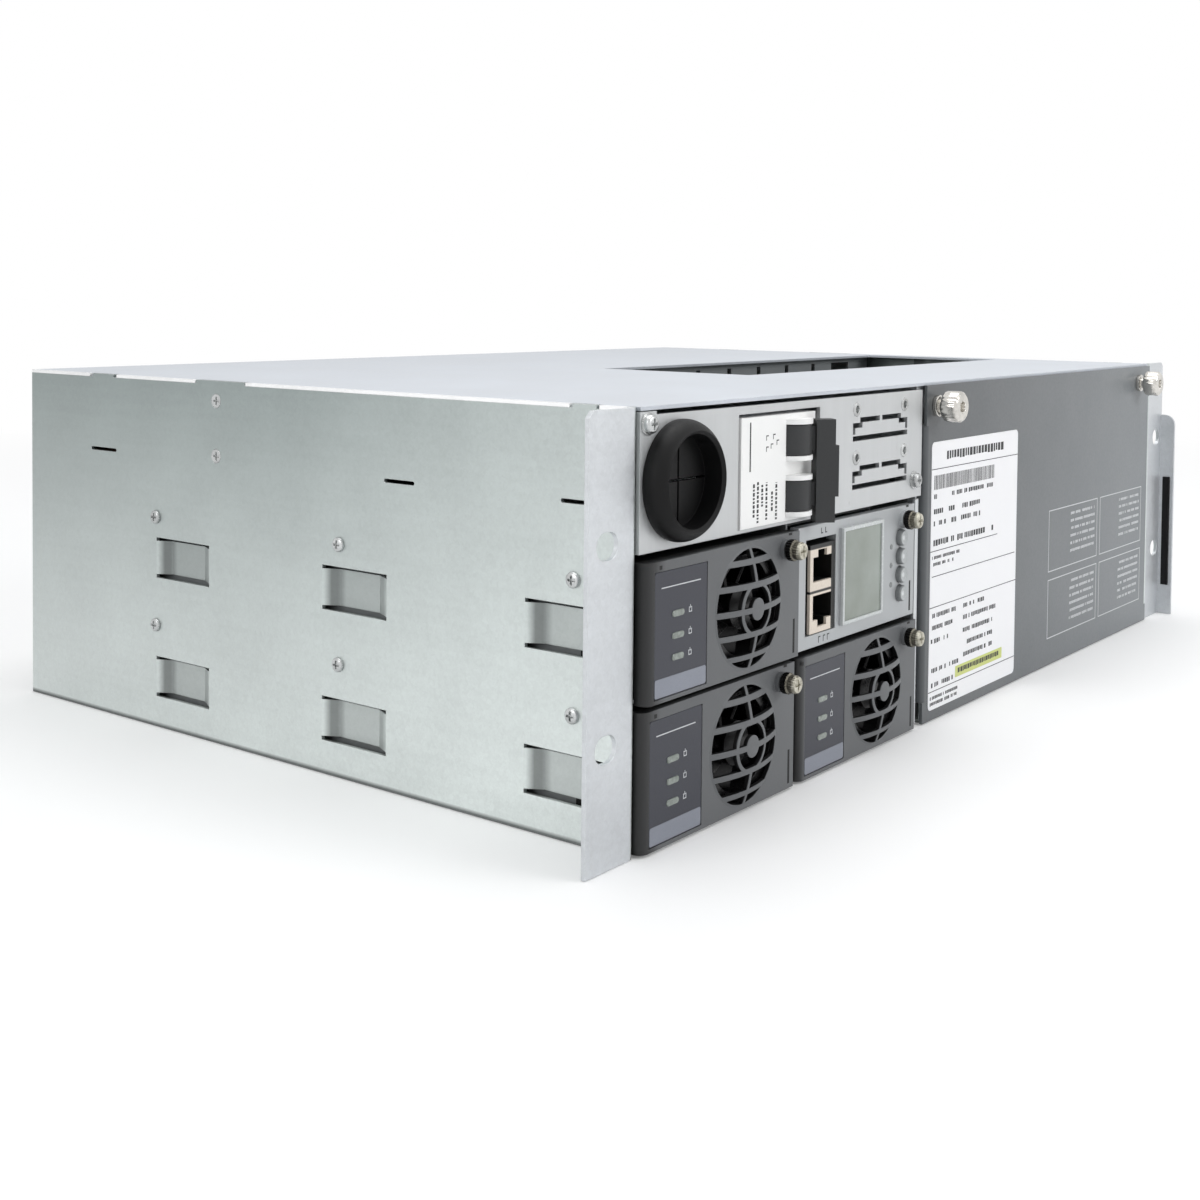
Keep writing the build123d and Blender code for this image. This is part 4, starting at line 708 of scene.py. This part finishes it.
toward_left, toward_front = (-1.0, 0.0, 0.0), (0.0, -1.0, 0.0)
plated = bright("plated_screw_head", (198, 200, 200), 0.26, dark=0.35)
polished = bright("thumbscrew_chrome", (226, 223, 217), 0.14, dark=0.3)
plated_fixed = (plated, "chassis", "plated_screw")
side_screw_depths, side_screw_levels = (21.8, 121.5, 219.5), (38.0, 78.2)
flush_screw_depth, flush_screw_levels = 185.3, (103.1, 122.8)
panel_screw_places = ((-214.4, 125.0), (-44.3, 94.0))
stud_x, stud_levels = (-89.4, -52.8), (122.7, 105.7)
thumbscrew_x, thumbscrew_level = {"left": -28.0, "right": 200.0}, 121.0

screws("side_screw_heads", "side_screws",
       [(0.0, depth - half_depth, z) for depth in side_screw_depths for z in side_screw_levels], toward_left,
       ((217.0, 1.4), (220.02, 1.4), (220.02, 2.5), (220.45, 2.5), (220.85, 2.4), (221.15, 2.1)),
       0.35, 1.45, 0.9, *plated_fixed)
screws("flush_screw_heads", "flush_screws",
       [(0.0, flush_screw_depth - half_depth, z) for z in flush_screw_levels], toward_left,
       ((217.0, 1.4), (218.6, 1.4), (219.9, 2.45), (220.0, 2.45)), 0.0, 1.5, 0.9, *plated_fixed)
screws("panel_screw_heads", "ac_panel_screws",
       [front_point(*place) for place in panel_screw_places], toward_front,
       ((-9.0, 1.4), (0.3, 1.4), (0.3, 3.3), (0.75, 3.3), (0.8, 2.75), (2.0, 2.75), (2.5, 2.5),
        (2.75, 2.1)), 0.15, 1.6, 1.1, *plated_fixed)
screws("stud_heads", "panel_studs",
       [front_point(x, z) for x in stud_x for z in stud_levels], toward_front,
       ((-7.0, 1.4), (-1.2, 1.4), (-1.2, 2.55), (0.4, 2.55), (0.75, 2.2)), 0.0, 1.3, 1.8, *plated_fixed,
       recess="round", steps=48)
for side, x in thumbscrew_x.items():
    screws("thumbscrew_" + side + "_knurled", "thumbscrew_" + side, [front_point(x, thumbscrew_level)],
           toward_front,
           ((-7.0, 2.0), (1.6, 2.0), (1.6, 4.1), (2.9, 4.1), (3.2, 3.8), (3.2, 2.6), (5.2, 2.6),
            (5.2, 5.2), (5.6, 5.7, True), (6.0, 5.9, True), (11.2, 5.9, True), (11.7, 5.6, True),
            (12.1, 5.0)), 0.0, 2.1, 2.0, polished, side + "_thumbscrew", "bright_screw", recess="hex",
           ridges=16, ripple=0.2, steps=168)
for module, (column, row, face) in fronts.items():
    out = -face
    screws(module + "_screw_knurled", module + "_screw", [front_point(*captive_centre(column, row))],
           toward_front,
           ((out - 9.0, 1.5), (out + 1.7, 1.5), (out + 1.9, 3.1), (out + 2.2, 3.5, True),
            (out + 4.0, 3.5, True), (out + 4.15, 3.0), (out + 4.4, 2.75), (out + 4.5, 2.95, True),
            (out + 6.3, 2.95, True), (out + 6.6, 2.75), (out + 7.1, 2.6)), 0.15, 1.7, 0.9,
           captive[module], module + "_captive_screw", "plated_screw", ridges=22, ripple=0.3, steps=132)

# Label plates of the rectifiers, with lamps and small signs
plate_plastic = grained("label_plate", (38, 40, 51), (44, 46, 58), 0.34, 1800.0, 0.006)
band_plastic = moulded("label_band", (134, 138, 149), 0.4, 1800.0, 0.006, 0.1)
lens = grained("lamp_lens", (112, 120, 113), (142, 150, 143), 0.2, 600.0, 0.02, detail=2.0, coat=0.5)
label_in, label_up, label_sunk = 3.6, 1.2, 0.5
label_recess_width, label_recess_height, label_margin, label_thickness = 27.2, 37.1, 0.12, 0.38
band_margin, band_top = 0.4, 5.9
lamp_span = (8.8, 15.0)
sign_span, sign_stem = (17.5, 19.1), 18.16
title_span, title_level, title_line = (3.4, 23.6), 32.0, 0.35
lamp_heights = (25.1, 18.6, 12.3)
lamp_half = 1.0
lamp_round = 0.98
sign_line = 0.28

for module in rectifiers:
    column, row, face = fronts[module]
    left = column_left[column] + label_in
    low = bezel_low[row] + label_up
    recess = face + label_sunk
    right, high = left + label_recess_width, low + label_recess_height
    front = recess - label_thickness
    plate(module + "_label", (left + label_margin, right - label_margin),
          (low + label_margin, high - label_margin), (front, recess), 1.0, plate_plastic, module, 0.12)
    plate(module + "_label_band", (left + band_margin, right - band_margin),
          (low + band_margin, low + band_top), (front - 0.06, front + 0.02), 0.8, band_plastic, module, 0.03)
    signs = []
    for number, height in enumerate(lamp_heights, 1):
        middle = bezel_low[row] + height
        plate(f"{module}_lamp_{number}", (left + lamp_span[0], left + lamp_span[1]),
              (middle - lamp_half, middle + lamp_half), (recess - 0.75, recess - 0.3), lamp_round, lens,
              module, 0.35)
        frame_lines(signs, (left + sign_span[0], left + sign_span[1]), (middle - 0.7, middle + 0.9),
                    sign_line)
        signs.append(((left + sign_stem, left + sign_stem + sign_line), (middle + 0.5, middle + 1.5)))
    signs.append(((left + title_span[0], left + title_span[1]),
                  (low + title_level, low + title_level + title_line)))
    marks(module + "_signs", signs, front, pale_ink, module)

# Front cover label: plain rows of unreadable print, placed by shares of the label's width and height
rng = random.Random(7)
label_x = (-31.8, 50.0)
label_z = (4.2, 107.2)
label_width, label_height = label_x[1] - label_x[0], label_z[1] - label_z[0]
paper_depth = cover_depth - 0.14
title = (0.16, 0.84, 0.04, 3.4)
title_rule = (0.0, 1.0, 0.1)
bar_code_x, bar_code_z = (0.03, 0.71), (0.125, 0.178)
# Start, end, top and the height of the letters in millimetres
label_lines = ((0.03, 0.11, 0.195, 2.0), (0.2, 0.7, 0.195, 1.8), (0.03, 0.14, 0.25, 2.0),
               (0.19, 0.28, 0.25, 2.0), (0.34, 0.55, 0.25, 2.0), (0.03, 0.17, 0.295, 2.0),
               (0.22, 0.44, 0.295, 2.0), (0.47, 0.56, 0.295, 2.0), (0.03, 0.2, 0.365, 2.4),
               (0.22, 0.36, 0.365, 2.4), (0.37, 0.72, 0.365, 2.4), (0.02, 0.33, 0.425, 1.3),
               (0.02, 0.26, 0.45, 1.3), (0.03, 0.3, 0.64, 1.8), (0.37, 0.62, 0.64, 1.8),
               (0.03, 0.25, 0.685, 1.8), (0.37, 0.76, 0.685, 1.8), (0.02, 0.27, 0.735, 1.8),
               (0.37, 0.72, 0.735, 1.8), (0.37, 0.74, 0.785, 1.8), (0.03, 0.34, 0.845, 1.8),
               (0.38, 0.72, 0.83, 1.8), (0.03, 0.28, 0.9, 1.8), (0.02, 0.32, 0.95, 1.3),
               (0.02, 0.32, 0.972, 1.3))
label_rules = ((0.0, 0.76, 0.405), (0.02, 0.98, 0.5), (0.0, 1.0, 0.615), (0.0, 1.0, 0.93))
rule_thickness = 0.3
tint_x, tint_z = (0.29, 0.84), (0.872, 0.915)
tint_line = (0.32, 0.81, 0.882, 2.0)


def label_range(start, end):
    return label_x[0] + start * label_width, label_x[0] + end * label_width


def label_level(down):
    return label_z[1] - down * label_height


def label_row(boxes, start, end, top, tall, dense):
    words(boxes, label_range(start, end), label_level(top), tall, rng, dense)


def label_rule(boxes, start, end, top):
    high = label_level(top)
    boxes.append((label_range(start, end), (high - rule_thickness, high)))


plate("cover_label", label_x, label_z, (paper_depth, cover_depth), 2.2, paper, "chassis", 0.04)
print_boxes = []
label_row(print_boxes, *title, 0.95)
label_rule(print_boxes, *title_rule)
at, bar_code_end = label_range(*bar_code_x)
while at < bar_code_end:
    bar = rng.choice((0.25, 0.25, 0.4, 0.6))
    print_boxes.append(((at, at + bar), (label_level(bar_code_z[1]), label_level(bar_code_z[0]))))
    at += bar + rng.choice((0.25, 0.4, 0.55))
for line in label_lines:
    label_row(print_boxes, *line, 0.8)
for rule in label_rules:
    label_rule(print_boxes, *rule)
marks("cover_label_print", print_boxes, paper_depth, ink, "chassis")
tint = moulded("label_tint", (207, 214, 128), 0.45, 1500.0, 0.004, 0.0, cloudy=0.02)
plate("cover_label_tint", label_range(*tint_x), (label_level(tint_z[1]), label_level(tint_z[0])),
      (cover_depth - 0.16, cover_depth - 0.13), 0.4, tint, "chassis", 0.01)
tint_boxes = []
label_row(tint_boxes, *tint_line, 0.95)
marks("cover_label_tint_print", tint_boxes, cover_depth - 0.16, ink, "chassis")

# Framed fields on the front cover, without symbols
field_x, field_z = ((86.5, 146.0), (149.5, 207.0)), ((12.0, 38.2), (41.6, 69.0))
field_border = 0.45
field_lines, line_pitch, letter_height = 6, 3.4, 1.3
fields = []
for x in field_x:
    for z in field_z:
        frame_lines(fields, x, z, field_border)
        for line in range(field_lines):
            words(fields, (x[0] + 26.0, x[1] - 3.0), z[1] - 3.2 - line_pitch * line, letter_height, rng, 0.85)
marks("cover_fields", fields, cover_depth, pale_ink, "chassis", 0.02)

# Breaker: scored line, upright rows of unreadable print and small angles
scored_line = ((-160.2, -159.5), (106.6, 122.2))
print_columns = ((-158.0, 92.0, 103.0), (-155.6, 90.0, 103.0), (-153.0, 95.0, 102.0),
                 (-150.4, 90.5, 102.5), (-147.0, 93.0, 99.5), (-144.4, 90.0, 102.0))
angle_corners = ((-150.4, 117.2), (-147.6, 114.4), (-150.4, 113.6), (-146.2, 117.4), (-144.0, 115.4))
print_width, print_gap, angle_line = 1.1, 0.45, 0.35
printed = [scored_line]
for x, low, high in print_columns:
    at = low
    while at < high:
        step = rng.uniform(0.5, 1.3)
        printed.append(((x, x + print_width), (at, min(at + step, high))))
        at += step + print_gap
for x, z in angle_corners:
    printed.append(((x, x + 1.5), (z, z + angle_line)))
    printed.append(((x, x + angle_line), (z - 1.3, z)))
marks("breaker_print", printed, breaker_depth, ink, "chassis")

# Controller: signs under and over the jacks, lamps and display
face = fronts["controller"][2]
low_sign_x, high_sign_x = (-115.6, -112.4, -109.6), (-114.6, -111.8)
lamp_x, lamp_levels = (-63.9, -61.9), (71.2, 64.4, 57.3)
signs = []
for x in low_sign_x:
    signs.append(((x, x + 0.4), (45.0, 47.2)))
    signs.append(((x, x + 1.5), (46.8, 47.2)))
for x in high_sign_x:
    signs.append(((x, x + 0.4), (82.0, 84.0)))
    signs.append(((x, x + 1.3), (82.0, 82.4)))
marks("controller_signs", signs, face, ink, "controller")
for number, height in enumerate(lamp_levels, 1):
    lamp_plastic = moulded(f"controller_lamp_tone_{number}", (126, 130, 130), 0.3, 1500.0, 0.01, 0.2)
    plate(f"controller_lamp_{number}", lamp_x, (height - lamp_half, height + lamp_half),
          (face - 0.12, face), lamp_round, lamp_plastic, "controller", 0.05)

pane_x = (column_left[1] + 29.3, column_left[1] + 56.3)
pane_z = (bezel_low[1] + 5.9, bezel_low[1] + 37.1)
pane = Finish("display_pane", 0.14, coat=0.4)
haze = pane.noise(60.0, 3.0)
fall = pane.span(pane.axis("Z"), pane_z[0] / 1000.0, pane_z[1] / 1000.0)
across = pane.span(pane.axis("X"), pane_x[0] / 1000.0, pane_x[1] / 1000.0)
tone = pane.calc("ADD", pane.calc("MULTIPLY", fall, 0.2), pane.spread(haze, -0.1, 0.25),
                 pane.calc("MULTIPLY", across, 0.3))
pane.paint(pane.blend(tone, colour(120, 128, 117), colour(160, 169, 163)))
pane.rough(pane.spread(haze, 0.1, 0.2))
pane.bump(haze, 0.01, 0.3)
plate("display_pane", pane_x, pane_z, (face - 1.1, face - 0.78), 0.6, pane.material, "controller", 0.08)

rim_plastic = moulded("display_rim", (202, 206, 206), 0.22, 1200.0, 0.008, 0.5, (245, 247, 247), coat=0.3)
rim_x = (column_left[1] + 28.0, column_left[1] + 57.6)
rim_z = (bezel_low[1] + 4.6, bezel_low[1] + 38.4)
points, mesh_faces = [], []
for x, z in (((rim_x[0], pane_x[0]), rim_z), ((pane_x[1], rim_x[1]), rim_z),
             (pane_x, (rim_z[0], pane_z[0])), (pane_x, (pane_z[1], rim_z[1]))):
    slab(points, mesh_faces, x, z, (face - 1.7, face - 0.8), 0.25, 0.3, 3)
mesh_piece("display_rim", points, mesh_faces, rim_plastic, "controller")

# Latch slots of the modules, and the gap beside each captive screw: black marks of painted shade in these
# openings
painted_slot_shade = moulded("slot_shade_black", (12, 12, 12), 0.7, 1500.0, 0.004, 0.0)
latch_x, latch_z = (81.2, 82.4), (1.6, 12.8)
notch_by_column, notch_half, notch_down = (6.4, 1.6), 0.7, (2.4, 1.2)
screw_gap, screw_gap_height = (2.5, 4.6), 0.8
for module, (column, row, face) in fronts.items():
    left, low = column_left[column], bezel_low[row]
    high = low + bezel_height
    slots = [((left + latch_x[0], left + latch_x[1]), (low + latch_z[0], low + latch_z[1]))]
    if module in rectifiers:
        notch = left + notch_by_column[column]
        slots.append(((notch - notch_half, notch + notch_half), (high - notch_down[0], high - notch_down[1])))
    screw_x = captive_centre(column, row)[0]
    slots.append(((screw_x + screw_gap[0], screw_x + screw_gap[1]), (high - screw_gap_height, high)))
    marks(module + "_slots", slots, face, painted_slot_shade, module, 0.02)

# Contacts in the network jacks
contact = bright("jack_contact", (120, 98, 56), 0.34, dark=0.3)
contact_levels, contact_count = (54.5, 70.5), 8
contact_pitch, contact_half, contact_reach = 1.02, 0.18, 3.2
points, mesh_faces = [], []
for middle_z in contact_levels:
    for number in range(contact_count):
        x = (jack_x[0] + jack_x[1]) / 2 + contact_pitch * (number - (contact_count - 1) / 2)
        slab(points, mesh_faces, (x - contact_half, x + contact_half),
             (middle_z - contact_reach, middle_z + contact_reach), (5.2, 5.6), 0.1, 0.05, 2)
mesh_piece("jack_contacts", points, mesh_faces, contact, "controller")


# Floor, light and camera
def seen_rays(tree):
    """1 for rays that look at a surface, straight or by way of another, and 0 for those that light it."""
    path = tree.nodes.new("ShaderNodeLightPath")
    seen = path.outputs["Is Camera Ray"]
    for key in ("Is Glossy Ray", "Is Transmission Ray"):
        most = tree.nodes.new("ShaderNodeMath")
        most.operation = "MAXIMUM"
        tree.links.new(seen, most.inputs[0])
        tree.links.new(path.outputs[key], most.inputs[1])
        seen = most.outputs[0]
    return seen


def shader_mix(tree, amount, first, second):
    made = tree.nodes.new("ShaderNodeMixShader")
    for socket, value in zip(made.inputs, (amount, first, second)):
        tree.links.new(value, socket)
    return made.outputs["Shader"]


floor_lift, ambient_strength = 0.14, 0.42
fade_from, fade_to = 0.55, 1.3

ground = Finish("floor_white", 0.7)
ground.paint(colour(242, 242, 242))
seen = seen_rays(ground.tree)
distance = ground.node("ShaderNodeVectorMath", operation="LENGTH")
ground.tree.links.new(ground.place, distance.inputs[0])
white = ground.node("ShaderNodeEmission")
lift = ground.node("ShaderNodeEmission")
lift.inputs["Strength"].default_value = floor_lift
lifted = ground.node("ShaderNodeAddShader")
ground.tree.links.new(ground.surface.outputs["BSDF"], lifted.inputs[0])
ground.tree.links.new(lift.outputs["Emission"], lifted.inputs[1])
near = shader_mix(ground.tree, seen, ground.surface.outputs["BSDF"], lifted.outputs["Shader"])
fade = ground.calc("MULTIPLY", seen, ground.span(distance.outputs["Value"], fade_from, fade_to))
faded = shader_mix(ground.tree, fade, near, white.outputs["Emission"])
ground.tree.links.new(faded, ground.output.inputs["Surface"])

floor_reach = 12.0
floor_level = cad_box[0][2] - 0.0002
shape = bpy.data.meshes.new("floor")
corners = [(-floor_reach, -floor_reach, floor_level), (floor_reach, -floor_reach, floor_level),
           (floor_reach, floor_reach, floor_level), (-floor_reach, floor_reach, floor_level)]
shape.from_pydata(corners, [], [(0, 1, 2, 3)])
shape.materials.append(ground.material)
floor_piece = bpy.data.objects.new("floor", shape)
bpy.context.scene.collection.objects.link(floor_piece)

world = bpy.data.worlds.new("studio")
bpy.context.scene.world = world
world.use_nodes = True
tree = world.node_tree
tree.nodes.clear()
backdrop = tree.nodes.new("ShaderNodeBackground")
backdrop.inputs["Color"].default_value = (1.0, 1.0, 1.0, 1.0)
ambient = tree.nodes.new("ShaderNodeBackground")
ambient.inputs["Color"].default_value = (0.96, 0.98, 1.0, 1.0)
ambient.inputs["Strength"].default_value = ambient_strength
sky = shader_mix(tree, seen_rays(tree), ambient.outputs[0], backdrop.outputs[0])
output = tree.nodes.new("ShaderNodeOutputWorld")
tree.links.new(sky, output.inputs["Surface"])


def softbox(name, place, size, power):
    """Area light that faces the middle of the part."""
    lamp = bpy.data.lights.new(name, "AREA")
    lamp.shape = "RECTANGLE"
    lamp.size, lamp.size_y = size
    lamp.energy = power
    thing = bpy.data.objects.new(name, lamp)
    thing.location = place
    aim = Vector((0.0, 0.0, 0.06)) - Vector(place)
    thing.rotation_euler = aim.to_track_quat("-Z", "Y").to_euler()
    bpy.context.scene.collection.objects.link(thing)


softbox("light_top", (0.1, 0.0, 2.2), (1.8, 1.8), 25.0)
softbox("light_front", (0.7, -2.2, 1.1), (1.4, 1.0), 19.0)
softbox("light_left", (-2.3, 0.3, 0.9), (1.2, 1.0), 11.0)

# Camera fitted to the photograph: focal length and principal row in pixels of its 1200 by 1200
picture_size = 1200.0
focal = 1561.0
principal_row = 350.0
camera_place = Vector((-0.5766, -0.4114, 0.1614))
yaw, pitch, roll = (math.radians(angle) for angle in (52.43, -1.97, 0.55))
forward = Vector((math.sin(yaw) * math.cos(pitch), math.cos(yaw) * math.cos(pitch), math.sin(pitch)))
level_right = Vector((math.cos(yaw), -math.sin(yaw), 0.0))
level_up = level_right.cross(forward)
right = math.cos(roll) * level_right + math.sin(roll) * level_up
up = -math.sin(roll) * level_right + math.cos(roll) * level_up
sensor = bpy.data.cameras.new("camera")
sensor.sensor_width = 36.0
sensor.lens = focal * sensor.sensor_width / picture_size
sensor.shift_y = (principal_row - picture_size / 2) / picture_size
sensor.clip_start = 0.01
camera = bpy.data.objects.new("camera", sensor)
camera.matrix_world = Matrix.Translation(camera_place) @ Matrix((right, up, -forward)).transposed().to_4x4()
bpy.context.scene.collection.objects.link(camera)
bpy.context.scene.camera = camera
bpy.context.scene.view_settings.view_transform = "Standard"
